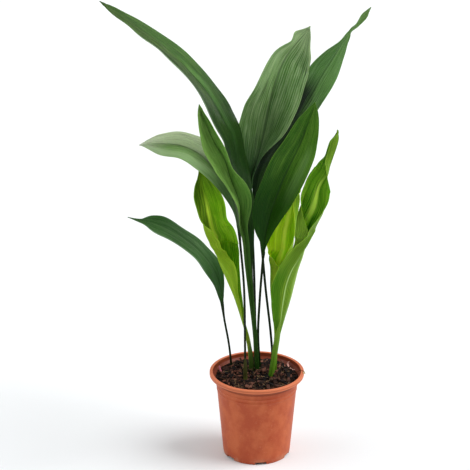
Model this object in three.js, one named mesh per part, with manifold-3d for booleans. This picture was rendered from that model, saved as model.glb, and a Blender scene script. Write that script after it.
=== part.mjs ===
// A potted cast iron plant: ten long leaves on one branched rhizome, in a filled nursery pot.
// Millimetres, +Z up. The origin is the middle of the pot's flat underside, -Y is the front
// of the plant and +X its right side.
import * as THREE from 'three';
import { mergeVertices } from 'three/addons/utils/BufferGeometryUtils.js';
import Module from 'manifold-3d';

const wasm = await Module();
wasm.setup();

// Driving dimensions of the pot
const POT_HEIGHT = 131;
const RIM_RADIUS = 70;
const RIM_INNER_RADIUS = 65;
const RIM_HEIGHT = 5.6;
const RIM_ROUNDING = 1.6;
const NECK_RADIUS = 60.5;
const NECK_HEIGHT = 119.5;
const BASE_RADIUS = 49.5;
const BASE_ROUNDING = 1.5;
const WALL = 1.6;
const FLOOR = 2.2;
const SHOULDER_DROP = 27;
const SHOULDER_STEP = 0.5;
const POT_SIDES = 48;
const NOTCH_COUNT = 6;
const NOTCH_WIDTH = 17;
const NOTCH_HEIGHT = 4;
const NOTCH_DEPTH = 7;
const FRONT_NOTCH_ANGLE = -83;

// Driving dimensions of the soil and the rhizome
const GAP = 0.3;
const SOIL_LEVEL = 122.3;
const HEAP_HEIGHT = 4.5;
const HEAP_RADIUS = 30;
const HEAP_CENTRE = [4, 12];
const SOIL_ROUGHNESS = 1.1;
const SOIL_WAVES = { x: 0.31, y: 0.37, lead: 1.3, slantX: 0.83, slantY: 0.61, slantLead: 2 };
const SOIL_RINGS = 7;
const CHIP_COUNT = 40;
const CHIP_RANGE = 52;
const CHIP_CLEARANCE = 9;
const CHIP_SEED = 20;
const CHIP_LENGTHS = [6, 15];
const CHIP_WIDTHS = [3, 6];
const CHIP_THICKNESSES = [1.6, 3];
const CHIP_TILT = 0.4;
const CHIP_RISE = 0.25;
const RHIZOME_DEPTH = 102;
const RHIZOME_RADIUS = 7;
const RHIZOME_KNOB = 1.1;
const RHIZOME_END_SHARE = 0.6;
const RHIZOME_KNOB_PITCH = 12;
const RHIZOME_SIDES = 8;

// Driving dimensions that all leaves share. A station's first columns are its place.
const STATION_COLUMNS = 9;
const PLACE_COLUMNS = 3;
const PETIOLE_RADIUS = 1.8;
const BLADE_THICKNESS = 0.8;
const MIDRIB_EXTRA = 0.7;
const STALK_END_WIDTH = PETIOLE_RADIUS * 1.1;
const BLADE_START_WIDTH = PETIOLE_RADIUS * 2.6;
const RIPPLE_RATE = 34;
const RIPPLE_LEAD = 2.1;
const BLADE_STEPS = 3;
const STALK_STEPS = 2;
const HALF_COLUMNS = 2;
const ROLLED_HALF_COLUMNS = 4;
const SHEATH_HALF_COLUMNS = 3;
const SECTION_STEPS = 24;
const WRAP_FROM = 0.42;
const WRAP_TO = 0.58;
const STALK_LIMIT = 3.4;
const HOLE_SIDES = 8;
const MERGE_TOLERANCE = 0.02;
const HOLE_TOP = 130;

// Each leaf is one grown piece, from its foot on the rhizome to its tip. A station gives the
// midrib's x, y and z, the half width, the turn of the blade about the midrib, the fold of
// both halves towards the front and the curl that each half gains by its margin, in degrees.
// On a rolled leaf two more angles say how far the outer half of its left and of its right side
// is folded over to the front.
const LEAVES = {
  leaf_arching_left: {
    colour: 0x24452a,
    ripple: 1.2,
    stations: [
      [-1, 22, 104, 1.9, -30, 0, 0],
      [-4, 20, 185, 1.8, -30, 0, 0],
      [-8, 20, 268, 2.2, -30, 0, 0],
      [-10.5, 20, 303, 5, -30, 20, 0],
      [-14, 21, 339, 9.5, -33, 25, 0],
      [-15.5, 24, 380, 13.5, -48, 18, 0],
      [-22.5, 27, 415, 19, -58, 10, 0],
      [-30, 28, 450, 27, -65, 9, -5],
      [-38, 28, 490, 36, -70, 7, -10],
      [-52, 26, 519, 37, -74, 9, -10],
      [-70, 28, 552, 38, -78, 10, -10],
      [-98, 32, 586, 36, -82, 11, -8],
      [-133, 36, 621, 29, -84, 8, -5],
      [-173, 38, 652, 19, -76, 4, 0],
      [-202, 38, 672, 9, -72, 0, 0],
      [-223, 37, 688, 0.6, -70, 0, 0],
    ],
  },
  leaf_broad_back: {
    colour: 0x3c5c3c,
    ripple: 1.5,
    stations: [
      [1, 30, 104, 1.9, 0, 0, 0],
      [-2, 30, 185, 1.8, 0, 0, 0],
      [-4, 32, 269, 1.8, 0, 0, 0],
      [-6.5, 36, 328, 1.8, 0, 0, 0],
      [-10, 44, 375, 1.9, 10, 0, 0],
      [-11.5, 49, 391, 3.5, 20, 30, 0],
      [-8, 58, 416, 14, 23, 64, 0],
      [1.5, 69, 443, 32, 38, 50, 0],
      [10.5, 78, 482, 40, 20, 38, -5],
      [17, 74, 521, 42, -2, 33, -8],
      [27, 67, 561, 43.5, -26, 27, -8],
      [38, 71, 590.5, 41.5, -32, 27, -6],
      [54, 79, 610.5, 31, -20, 42, 0],
      [67, 84, 624, 12, 0, 18, 0],
      [76, 88, 636, 0.6, 0, 10, 0],
    ],
  },
  leaf_twisted_right: {
    colour: 0x27472b,
    ripple: 1.2,
    stations: [
      [26, 32, 104, 1.9, 0, 0, 0],
      [21, 32, 175, 1.8, 0, 0, 0],
      [13, 33, 248, 1.8, 0, 0, 0],
      [8, 36, 302, 1.8, 0, 0, 0],
      [2, 47, 352, 1.8, -10, 0, 0],
      [-2.5, 57, 376.5, 2.3, -19, 25, 0],
      [0.5, 67, 395.5, 9, -5, 14, 0],
      [11, 82, 425, 19, -33, 2, 0],
      [47, 86, 478.5, 26, -32, 9, -8],
      [72, 95, 519.5, 33, -38, 5, -10],
      [94, 101, 558, 33, -40, 5, -10],
      [113, 103, 589, 25, -44, 3, -6],
      [127, 104, 611, 11, -50, 0, 0],
      [134, 106, 622, 3.5, -46, 0, 0],
      [143, 109, 631, 6, -40, 15, 0],
      [153, 111, 643, 5.5, -27, 5, 0],
      [164, 112, 657, 0.6, -20, 0, 0],
    ],
  },
  leaf_front_right: {
    colour: 0x3d6a31,
    ripple: 1.3,
    stations: [
      [7, 24, 104, 1.9, 0, 0, 0],
      [2, 20, 175, 1.8, 0, 0, 0],
      [4, 13, 240, 1.8, 0, 0, 0],
      [8, 5, 303, 1.8, 20, 10, 0],
      [10, 1, 328, 5, 35, 30, 0],
      [13, -3, 356, 17, 35, 35, 0],
      [20, -8, 388, 28, 28, 35, -4],
      [29, -13, 418, 31, 14, 36, -6],
      [42, -19, 455, 31, 5, 28, -8],
      [56, -23, 487, 29, 4, 29, -6],
      [65, -26, 512, 24, 3, 30, -4],
      [72, -28, 534, 16, 2, 25, 0],
      [77, -29, 549, 8, 0, 15, 0],
      [80, -30, 561, 0.6, 0, 10, 0],
    ],
  },
  leaf_front_left: {
    colour: 0x3a6530,
    ripple: 1,
    stations: [
      [2, 13, 104, 3.2, 0, 0, 0],
      [-2, 10, 176, 3.4, 0, 20, 0],
      [-8, 5, 243, 4.5, 0, 36, 0],
      [-13.5, -2, 302, 5.8, 0, 40, 0],
      [-17, -8, 343, 6.8, -3, 47, 0],
      [-23, -14, 374, 13.5, -14, 68, 0],
      [-27, -21, 410, 21.3, -29, 57, -4],
      [-38, -27, 443, 24.8, -19, 63, -6],
      [-47, -31, 475, 25.8, 10, 66, -8],
      [-60.5, -33, 501, 24, 6, 57, -8],
      [-71.5, -35, 526, 17, 5, 53, -4],
      [-79, -36, 545, 8, 0, 45, 0],
      [-82.5, -37, 560, 0.6, 0, 20, 0],
    ],
  },
  leaf_bent_left: {
    colour: 0x31552f,
    ripple: 1.2,
    stations: [
      [-17, -12, 104, 1.9, -30, 0, 0],
      [-17.5, -11, 170, 1.7, -30, 0, 0],
      [-19, -6, 264, 1.7, -30, 0, 0],
      [-24.5, 2, 331, 1.8, -45, 0, 0],
      [-28, 5, 366, 5, -50, 10, 0],
      [-37, 4, 406, 12, -40, 14, -4],
      [-55, 3, 440, 22, -22, 42, -6],
      [-81, 4, 469.5, 28, -21, 45, -8],
      [-108, 2, 484, 27, -22, 48, -6],
      [-134, 0, 488, 21, -14, 42, -4],
      [-154, -2, 488.5, 9, -5, 20, 0],
      [-169, -3, 487, 0.6, 0, 10, 0],
    ],
  },
  leaf_bright_left: {
    colour: 0x5f8a2c,
    ripple: 1.2,
    rolled: true,
    stations: [
      [-6, 16, 104, 3, 0, 0, 0],
      [-11.5, 14, 166, 3.2, -20, 20, 0],
      [-20.5, 12, 203, 4.5, -50, 35, 0],
      [-32.5, 10, 244, 10.7, -78, 50, 0, 25, 24],
      [-44.5, 12, 274, 23.4, -76, 54, 0, 22, 21],
      [-56.5, 14, 304, 33.3, -69, 40, 0, 56, 32],
      [-59, 12, 326, 34, -54, 24, 0, 112, 31],
      [-58.5, 8, 340, 32.2, -18, 24, 0, 124, 27],
      [-64, 4, 356, 27.7, -10, 13, 0, 134, 0],
      [-68, 0, 378, 27.6, 1, 25, 0, 72, 10],
      [-73.5, -3, 404, 23.4, -23, 20, 0, 15, 3],
      [-78, -3, 422, 19.5, -24, 23, 0],
      [-79.5, -3, 437, 8.8, -17, 10, 0],
      [-84, -3, 452, 0.6, -26, 10, 0],
    ],
  },
  leaf_drooping_low: {
    colour: 0x274a2a,
    ripple: 0.8,
    stations: [
      [-36, 32, 104, 1.8, -30, 0, 0],
      [-41, 36, 155, 1.6, -30, 0, 0],
      [-48, 41, 195, 1.6, -35, 0, 0],
      [-51.5, 43, 222, 3, -42, 0, 0],
      [-55.5, 44, 250, 11, -48, 4, 0],
      [-65, 44, 277.5, 18, -56, 4, -4],
      [-82, 44, 301.5, 22, -70, 4, -6],
      [-104, 43, 322.5, 22, -74, 2, -6],
      [-130, 41, 341, 18.5, -62, 0, -4],
      [-154, 39, 352, 11, -35, 0, 0],
      [-171, 38, 355, 3, -30, 0, 0],
      [-189, 37, 361, 0.6, -30, 0, 0],
    ],
  },
  leaf_striped_right: {
    colour: 0x7da030,
    ripple: 0.6,
    rolled: true,
    stations: [
      [27, 12, 104, 2, 0, 0, 0],
      [28, 13, 167, 3, 0, 15, 0, 40, 40],
      [28, 15, 206, 8, 0, 15, 0, 120, 110],
      [26.5, 17, 246, 18.8, -20, 27, 0, 139, 117],
      [30.5, 19, 277.5, 25, -6, 18, 0, 138, 118],
      [30, 20, 290.5, 28.5, 0, 34, 0, 145, 116],
      [33, 20, 300.5, 34, 22, 13, 0, 135, 115],
      [37.5, 20, 316, 28, 4, 21, 0, 30, 106],
      [40, 19, 340, 28.3, -6, -8, 0, 30, 108],
      [45.5, 17, 372, 25, -10, 5, 0, 3, 119],
      [51, 16, 400, 22.5, -5, 18, 0, 0, 146],
      [54, 14, 420, 12.5, 3, 34, 0, 0, 10],
      [59, 12, 436, 0.6, 0, 10, 0],
    ],
  },
  leaf_folded_right: {
    colour: 0x4f8028,
    ripple: 0.8,
    rolled: true,
    stations: [
      [18.6, -2, 104, 2.6, 0, 0, 0],
      [24.8, -3, 153, 3, 20, 10, 0],
      [31.5, -4, 185, 4.2, 50, 30, 0, 20, 20],
      [38.5, -3, 212, 16.5, 79, 56, 0, 28, 24],
      [48.5, -2, 248, 33.5, 81, 60, 0, 58, 26],
      [54, -2, 272.5, 40, 78.5, 62.5, 0, 80, 25],
      [59.5, -3, 296.5, 40.5, 74.5, 57.5, 0, 80, 25],
      [66.5, -6, 321, 35, 69, 45, 0, 104, 61],
      [70, -9, 345, 31.5, 45, 37, 0, 119, 94],
      [68, -12, 368, 38, -6, 40, 0, 120, 94],
      [80.4, -16, 398, 36, 21, 18, 0, 92, 68],
      [87.5, -15, 429, 21, 22, 16, 0, 20, 2],
      [99, -13, 446, 21, 53, 43, 5, 0, 0],
      [102.8, -11, 458, 17.5, 60, 47, 12, 0, 0],
      [107.5, -10, 472, 12.5, 76, 62, 26, 0, 0],
      [112.5, -8, 487, 12.3, 90, 54, 26, 0, 0],
      [115, -6, 499, 10, 92, 40, 22, 0, 0],
      [113, -5, 511, 0.6, 60, 20, 0, 0, 0],
    ],
  },
};

// Dry and young sheaths that stand round a stalk, with stations as on the leaves. A turn of
// 180 puts the closed side to the front.
const SHEATHS = {
  sheath_bent_left: {
    colour: 0x8a6a3c,
    stations: [
      [-17, -15, 114, 4.9, 180, 0, 95],
      [-17.1, -14.8, 132, 4.6, 180, 0, 88],
      [-17.3, -14.2, 148, 2.8, 180, 0, 54],
      [-17.5, -13.8, 158, 0.9, 180, 0, 12],
    ],
  },
  sheath_bright_left: {
    colour: 0x93a54a,
    stations: [
      [-7.4, 11.4, 114, 4.6, 180, 0, 62],
      [-8.2, 10.5, 140, 4.2, 180, 0, 57],
      [-9.4, 9.5, 158, 3, 180, 0, 38],
      [-10, 8.8, 172, 0.9, 180, 0, 12],
    ],
  },
  sheath_folded_right: {
    colour: 0x7fae2e,
    stations: [
      [19.6, -6.8, 114, 6.4, 180, 0, 95],
      [25, -8.8, 152, 6.2, 178, 0, 88],
      [29.4, -12.6, 186, 5.2, 175, 0, 66],
      [33.4, -16.5, 217, 0.9, 172, 0, 12],
    ],
  },
};

// Stretches of the rhizome: each runs level between two points that stems stand on.
const RHIZOME_STRETCHES = [
  { from: [-40, 35], to: [-6, 17] },
  { from: [-8, 18], to: [30, 22] },
  { from: [-7, 18], to: [-19, -17] },
  { from: [27, 36], to: [20, -7] },
];

// A linear congruential random number generator, so that every build gives the same soil.
const RANDOM_FACTOR = 1664525;
const RANDOM_STEP = 1013904223;
const RANDOM_RANGE = 2 ** 32;

function randomFrom(seed) {
  let state = seed;
  return () => {
    state = (state * RANDOM_FACTOR + RANDOM_STEP) % RANDOM_RANGE;
    return state / RANDOM_RANGE;
  };
}

// Solids through rows of points

// A closed body through loops of equal length. Each end is a fan, or in a mirrored loft strips
// from the first half of the loop to the second, and there both halves have the same diagonals.
function loft(loops, mirrored = false) {
  const sides = loops[0].length;
  const positions = [];
  const triangles = [];
  for (const loop of loops) {
    for (const point of loop) {
      positions.push(point.x, point.y, point.z);
    }
  }
  for (let row = 0; row < loops.length - 1; row++) {
    for (let side = 0; side < sides; side++) {
      const a = row * sides + side;
      const b = row * sides + ((side + 1) % sides);
      const c = a + sides;
      const d = b + sides;
      if (mirrored && side >= sides / 2) {
        triangles.push(a, b, c, b, d, c);
      } else {
        triangles.push(a, b, d, a, d, c);
      }
    }
  }
  const lastRow = (loops.length - 1) * sides;
  if (mirrored) {
    for (let side = 0; side < sides / 2 - 1; side++) {
      const [a, b, c, d] = [side, side + 1, sides - 2 - side, sides - 1 - side];
      triangles.push(a, c, b, a, d, c);
      triangles.push(lastRow + a, lastRow + b, lastRow + c, lastRow + a, lastRow + c, lastRow + d);
    }
  } else {
    const first = positions.length / 3;
    for (const loop of [loops[0], loops[loops.length - 1]]) {
      const middle = loop.reduce((sum, point) => sum.add(point), new THREE.Vector3()).divideScalar(sides);
      positions.push(middle.x, middle.y, middle.z);
    }
    for (let side = 0; side < sides; side++) {
      const next = (side + 1) % sides;
      triangles.push(first, next, side);
      triangles.push(first + 1, lastRow + side, lastRow + next);
    }
  }
  const geometry = new THREE.BufferGeometry();
  geometry.setAttribute('position', new THREE.Float32BufferAttribute(positions, 3));
  geometry.setIndex(triangles);
  return geometry;
}

function toSolid(geometry) {
  const bare = geometry.clone();
  bare.deleteAttribute('normal');
  bare.deleteAttribute('uv');
  const merged = mergeVertices(bare);
  return new wasm.Manifold(new wasm.Mesh({
    numProp: 3,
    vertProperties: Float32Array.from(merged.attributes.position.array),
    triVerts: Uint32Array.from(merged.index.array),
  }));
}

function toGeometry(solid) {
  const mesh = solid.getMesh();
  const geometry = new THREE.BufferGeometry();
  geometry.setAttribute('position', new THREE.BufferAttribute(mesh.vertProperties, 3));
  geometry.setIndex(new THREE.BufferAttribute(mesh.triVerts, 1));
  return geometry;
}

// The largest body of a solid, with its flat faces tidied, so that no loose scrap of a cut stays.
function largestBody(solid) {
  const bodies = solid.simplify(MERGE_TOLERANCE).decompose();
  return bodies.reduce((best, body) => (body.volume() > best.volume() ? body : best));
}

// Leaves

const smooth = THREE.MathUtils.smoothstep;
const radians = THREE.MathUtils.degToRad;

// A station's slope that never overshoots its neighbours.
function gentleSlope(before, here, after) {
  const rise = here - before;
  const next = after - here;
  return rise * next <= 0 ? 0 : (2 * rise * next) / (rise + next);
}

function hermite(start, end, startSlope, endSlope, t) {
  const t2 = t * t;
  const t3 = t2 * t;
  return (2 * t3 - 3 * t2 + 1) * start + (t3 - 2 * t2 + t) * startSlope
    + (3 * t2 - 2 * t3) * end + (t3 - t2) * endSlope;
}

// The stations of a leaf with steps filled in between: the midrib runs on a smooth curve and
// the widths and angles change evenly.
function fillStations(stations) {
  const whole = stations.map((station) => [...station, 0, 0].slice(0, STATION_COLUMNS));
  const at = (index) => whole[THREE.MathUtils.clamp(index, 0, whole.length - 1)];
  const rows = [];
  for (let span = 0; span < stations.length - 1; span++) {
    const steps = at(span + 1)[3] <= STALK_END_WIDTH ? STALK_STEPS : BLADE_STEPS;
    for (let step = 0; step < steps; step++) {
      const t = step / steps;
      rows.push(at(span).map((start, column) => {
        const end = at(span + 1)[column];
        const before = at(span - 1)[column];
        const after = at(span + 2)[column];
        if (column < PLACE_COLUMNS) {
          return hermite(start, end, (end - before) / 2, (after - start) / 2, t);
        }
        return hermite(start, end, gentleSlope(before, start, end), gentleSlope(start, end, after), t);
      }));
    }
  }
  rows.push(at(stations.length - 1));
  return rows;
}

// Right and front directions of the blade at a row, after its turn about the midrib.
function bladeFrame(rows, index) {
  const ahead = rows[Math.min(index + 1, rows.length - 1)];
  const behind = rows[Math.max(index - 1, 0)];
  const along = new THREE.Vector3(ahead[0] - behind[0], ahead[1] - behind[1], ahead[2] - behind[2]).normalize();
  const right = new THREE.Vector3().crossVectors(along, new THREE.Vector3(0, -1, 0)).normalize();
  right.applyAxisAngle(along, -radians(rows[index][4]));
  const front = new THREE.Vector3().crossVectors(right, along);
  return { right, front };
}

// The slope of a blade's section at a share of its left or right half: fold, curl and wrap.
function sectionAngle(row, side, reach) {
  const wrap = side < 0 ? row[7] : row[8];
  return radians(row[5] + row[6] * reach + wrap * smooth(reach, WRAP_FROM, WRAP_TO));
}

// A point of the blade's section. across runs from -1 at the left margin to 1 at the right one.
function bladePoint(row, frame, across, face, ripple, midrib) {
  const reach = Math.abs(across);
  const side = Math.sign(across);
  const steps = Math.round(reach * SECTION_STEPS);
  let out = 0;
  let lift = ripple * reach * reach;
  for (let step = 0; step < steps; step++) {
    const slope = sectionAngle(row, side, (step + 0.5) / SECTION_STEPS);
    out += (side * row[3] * Math.cos(slope)) / SECTION_STEPS;
    lift += (row[3] * Math.sin(slope)) / SECTION_STEPS;
  }
  const angle = sectionAngle(row, side, reach);
  const half = face * (BLADE_THICKNESS / 2 + midrib * (1 - reach) * (1 - reach));
  return new THREE.Vector3(row[0], row[1], row[2])
    .addScaledVector(frame.right, out - side * Math.sin(angle) * half)
    .addScaledVector(frame.front, lift + Math.cos(angle) * half);
}

// One leaf: a round stalk that widens into a thin blade with a raised midrib and rippled margins.
function leafGeometry(leaf) {
  const rows = fillStations(leaf.stations);
  const halfColumns = leaf.rolled ? ROLLED_HALF_COLUMNS : HALF_COLUMNS;
  const columns = halfColumns * 2 + 1;
  const loops = rows.map((row, index) => {
    const frame = bladeFrame(rows, index);
    const spread = smooth(row[3], STALK_END_WIDTH, BLADE_START_WIDTH);
    const stalk = Math.min(row[3], STALK_LIMIT);
    const along = index / (rows.length - 1);
    const midrib = MIDRIB_EXTRA * spread * (1 - along);
    const loop = [];
    for (const face of [1, -1]) {
      for (let column = 0; column < columns; column++) {
        const across = face * (column / halfColumns - 1);
        const wave = leaf.ripple * spread * Math.sin(along * RIPPLE_RATE + (across > 0 ? 0 : RIPPLE_LEAD));
        const blade = bladePoint(row, frame, across, face, wave, midrib);
        const turned = Math.PI * (column + 0.5) / columns;
        const around = face > 0 ? Math.PI - turned : -turned;
        const round = new THREE.Vector3(row[0], row[1], row[2])
          .addScaledVector(frame.right, stalk * Math.cos(around))
          .addScaledVector(frame.front, stalk * Math.sin(around));
        loop.push(round.lerp(blade, spread));
      }
    }
    return loop;
  });
  return loft(loops, true);
}

// The hole that a leaf's stalk needs in the soil, the rhizome or a sheath.
function stalkHole(leaf) {
  const filled = fillStations(leaf.stations);
  const rows = filled.slice(0, filled.findIndex((row) => row[2] > HOLE_TOP) + 1);
  const loops = rows.map((row, index) => {
    const frame = bladeFrame(rows, index);
    const radius = (Math.min(row[3], STALK_LIMIT) + GAP) / Math.cos(Math.PI / HOLE_SIDES);
    return circle(new THREE.Vector3(row[0], row[1], row[2] - (index === 0 ? GAP : 0)), radius, frame, HOLE_SIDES);
  });
  return toSolid(loft(loops));
}

function circle(middle, radius, frame, sides) {
  const loop = [];
  for (let side = 0; side < sides; side++) {
    const angle = -2 * Math.PI * (side / sides);
    loop.push(middle.clone()
      .addScaledVector(frame.right, radius * Math.cos(angle))
      .addScaledVector(frame.front, radius * Math.sin(angle)));
  }
  return loop;
}

// A dry leaf sheath: a thin curved scale that stands in the soil, close round a stalk.
function sheathGeometry(stations, margin = 0) {
  const rows = fillStations(stations);
  const columns = SHEATH_HALF_COLUMNS * 2 + 1;
  const loops = rows.map((row, index) => {
    const frame = bladeFrame(rows, index);
    const wide = [...row];
    wide[3] += margin;
    const loop = [];
    for (const face of [1, -1]) {
      for (let column = 0; column < columns; column++) {
        const across = face * (column / SHEATH_HALF_COLUMNS - 1);
        const point = bladePoint(wide, frame, across, face, 0, 0);
        const outwards = bladePoint(wide, frame, across, face * 2, 0, 0).sub(point).normalize();
        loop.push(point.addScaledVector(outwards, margin));
      }
    }
    return loop;
  });
  return loft(loops, true);
}

// Pot

function ring(radius, height, sides) {
  const loop = [];
  for (let side = 0; side < sides; side++) {
    const angle = 2 * Math.PI * (side / sides);
    loop.push(new THREE.Vector3(radius * Math.cos(angle), radius * Math.sin(angle), height));
  }
  return loop;
}

// The outer radius of the wall below the neck.
function wallRadius(height) {
  return THREE.MathUtils.mapLinear(height, 0, NECK_HEIGHT, BASE_RADIUS, NECK_RADIUS);
}

function potProfile() {
  const shoulder = POT_HEIGHT - SHOULDER_DROP;
  const lip = POT_HEIGHT - RIM_HEIGHT;
  return [
    [BASE_RADIUS - BASE_ROUNDING, 0],
    [wallRadius(BASE_ROUNDING), BASE_ROUNDING],
    [wallRadius(shoulder) - SHOULDER_STEP, shoulder - SHOULDER_STEP],
    [wallRadius(shoulder), shoulder],
    [NECK_RADIUS, NECK_HEIGHT],
    [RIM_INNER_RADIUS + WALL, lip],
    [RIM_RADIUS - RIM_ROUNDING / 2, lip],
    [RIM_RADIUS, lip + RIM_ROUNDING / 2],
    [RIM_RADIUS, POT_HEIGHT - RIM_ROUNDING],
    [RIM_RADIUS - RIM_ROUNDING, POT_HEIGHT],
    [RIM_INNER_RADIUS + RIM_ROUNDING, POT_HEIGHT],
    [RIM_INNER_RADIUS, POT_HEIGHT - RIM_ROUNDING],
    [RIM_INNER_RADIUS, lip],
    [NECK_RADIUS - WALL, NECK_HEIGHT],
    [wallRadius(FLOOR) - WALL, FLOOR],
  ];
}

// The drain openings are notches through the corner between the wall and the floor.
function notch(index) {
  const box = new THREE.BoxGeometry(NOTCH_DEPTH * 2, NOTCH_WIDTH, NOTCH_HEIGHT * 2);
  box.translate(BASE_RADIUS, 0, 0);
  box.rotateZ(radians(FRONT_NOTCH_ANGLE + (360 / NOTCH_COUNT) * index));
  return toSolid(box);
}

function potSolid() {
  let pot = toSolid(loft(potProfile().map(([radius, height]) => ring(radius, height, POT_SIDES))));
  for (let index = 0; index < NOTCH_COUNT; index++) {
    pot = pot.subtract(notch(index));
  }
  return pot;
}

// Rhizome

// A knobbly level stretch of the rhizome, larger all round by the margin.
function stretchSolid(stretch, margin) {
  const from = new THREE.Vector3(...stretch.from, RHIZOME_DEPTH);
  const to = new THREE.Vector3(...stretch.to, RHIZOME_DEPTH);
  const along = to.clone().sub(from).normalize();
  const frame = { right: new THREE.Vector3(0, 0, 1), front: new THREE.Vector3(0, 0, 1).cross(along) };
  const steps = Math.ceil(from.distanceTo(to) / (RHIZOME_KNOB_PITCH / 2));
  const loops = [];
  for (let step = 0; step <= steps; step++) {
    const atEnd = step === 0 || step === steps;
    const radius = RHIZOME_RADIUS * (atEnd ? RHIZOME_END_SHARE : 1) + RHIZOME_KNOB * (step % 2) + margin;
    const middle = from.clone().lerp(to, step / steps);
    middle.addScaledVector(along, atEnd ? Math.sign(step - 1) * margin : 0);
    loops.push(circle(middle, radius, frame, RHIZOME_SIDES));
  }
  return toSolid(loft(loops));
}

function rhizomeBody(margin) {
  return wasm.Manifold.union(RHIZOME_STRETCHES.map((stretch) => stretchSolid(stretch, margin)));
}

// Soil

// Height of the open soil surface: level by the wall and heaped round the stalks.
function soilHeight(x, y) {
  const fromHeap = Math.hypot(x - HEAP_CENTRE[0], y - HEAP_CENTRE[1]) / HEAP_RADIUS;
  const crossed = Math.sin(x * SOIL_WAVES.x + SOIL_WAVES.lead) * Math.cos(y * SOIL_WAVES.y);
  const lumps = crossed + Math.sin(x * SOIL_WAVES.slantX - y * SOIL_WAVES.slantY + SOIL_WAVES.slantLead);
  return SOIL_LEVEL + HEAP_HEIGHT * Math.exp(-fromHeap * fromHeap) + SOIL_ROUGHNESS * lumps;
}

function soilBed() {
  const lip = POT_HEIGHT - RIM_HEIGHT;
  const flare = THREE.MathUtils.mapLinear(SOIL_LEVEL, NECK_HEIGHT, lip, NECK_RADIUS - WALL, RIM_INNER_RADIUS);
  const edge = flare - GAP * 2;
  const loops = [];
  for (let step = 1; step <= SOIL_RINGS; step++) {
    const loop = ring((edge * step) / SOIL_RINGS, 0, POT_SIDES);
    loops.unshift(loop.map((point) => point.setZ(step < SOIL_RINGS ? soilHeight(point.x, point.y) : SOIL_LEVEL)));
  }
  loops.unshift(ring(NECK_RADIUS - WALL - GAP, NECK_HEIGHT + GAP, POT_SIDES));
  loops.unshift(ring(wallRadius(FLOOR) - WALL - GAP, FLOOR + GAP, POT_SIDES));
  return toSolid(loft(loops));
}

// One flat chip of bark that lies half sunk in the surface.
function chip(random, clear) {
  const between = ([least, most]) => THREE.MathUtils.lerp(least, most, random());
  const thickness = between(CHIP_THICKNESSES);
  const box = new THREE.BoxGeometry(between(CHIP_LENGTHS), between(CHIP_WIDTHS), thickness);
  const tilt = [-CHIP_TILT, CHIP_TILT];
  const turn = new THREE.Euler(between(tilt), between(tilt), random() * Math.PI);
  const distance = CHIP_RANGE * Math.sqrt(random());
  const bearing = random() * 2 * Math.PI;
  const x = distance * Math.cos(bearing);
  const y = distance * Math.sin(bearing);
  box.applyMatrix4(new THREE.Matrix4().makeRotationFromEuler(turn));
  box.translate(x, y, soilHeight(x, y) + thickness * CHIP_RISE);
  return clear(x, y) ? [toSolid(box)] : [];
}

function chips() {
  const random = randomFrom(CHIP_SEED);
  const feet = Object.values(LEAVES).map((leaf) => leaf.stations[0]);
  const clear = (x, y) => feet.every((foot) => Math.hypot(foot[0] - x, foot[1] - y) > CHIP_CLEARANCE);
  return Array.from({ length: CHIP_COUNT }, () => chip(random, clear)).flat();
}

function soilSolid(holes) {
  const soil = wasm.Manifold.union([soilBed(), ...chips()]);
  return largestBody(wasm.Manifold.difference([soil, rhizomeBody(GAP), ...holes]));
}

// The whole plant

function material(colour, roughness) {
  return new THREE.MeshStandardMaterial({ color: colour, roughness, metalness: 0 });
}

function addPiece(group, name, geometry, surface) {
  const mesh = new THREE.Mesh(geometry, surface);
  mesh.name = name;
  group.add(mesh);
}

const plant = new THREE.Group();
const stalkHoles = Object.values(LEAVES).map(stalkHole);
const sheathHoles = Object.values(SHEATHS).map((sheath) => toSolid(sheathGeometry(sheath.stations, GAP)));
addPiece(plant, 'pot', toGeometry(potSolid()), material(0xb06040, 0.55));
addPiece(plant, 'soil', toGeometry(soilSolid([...stalkHoles, ...sheathHoles])), material(0x33241c, 0.95));
const rhizome = wasm.Manifold.difference([rhizomeBody(0), ...stalkHoles, ...sheathHoles]);
addPiece(plant, 'rhizome', toGeometry(largestBody(rhizome)), material(0x8a7350, 0.8));
for (const [name, leaf] of Object.entries(LEAVES)) {
  addPiece(plant, name, leafGeometry(leaf), material(leaf.colour, 0.4));
}
for (const [name, sheath] of Object.entries(SHEATHS)) {
  addPiece(plant, name, sheathGeometry(sheath.stations), material(sheath.colour, 0.6));
}

export default plant;
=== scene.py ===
"""A potted cast iron plant, dressed round its CAD frame: leaves, sheaths, pot, soil and bark."""
import math

import bpy
import numpy as np
from mathutils import Matrix, Vector, noise


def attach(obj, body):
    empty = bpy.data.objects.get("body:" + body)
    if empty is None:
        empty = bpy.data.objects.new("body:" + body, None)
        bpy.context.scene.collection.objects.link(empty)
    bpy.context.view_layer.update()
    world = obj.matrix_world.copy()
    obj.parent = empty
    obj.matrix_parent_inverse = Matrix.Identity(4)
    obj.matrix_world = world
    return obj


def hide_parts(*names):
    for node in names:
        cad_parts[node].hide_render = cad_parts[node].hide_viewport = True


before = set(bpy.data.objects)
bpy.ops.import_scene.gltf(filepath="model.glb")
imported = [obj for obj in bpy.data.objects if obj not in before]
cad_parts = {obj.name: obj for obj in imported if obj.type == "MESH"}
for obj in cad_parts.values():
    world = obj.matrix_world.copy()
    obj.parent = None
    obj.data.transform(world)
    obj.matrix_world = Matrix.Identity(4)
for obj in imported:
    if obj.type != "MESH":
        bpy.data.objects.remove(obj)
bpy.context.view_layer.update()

# Millimetres of the tables below, in Blender's metres
MM = 0.001

# The photograph's camera: a long lens well away, looking a little down along +Y
CAMERA_PLACE = (-32.3, -3169.8, 1628.5)
CAMERA_PITCH = 22
CAMERA_LENS = 180.96

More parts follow.
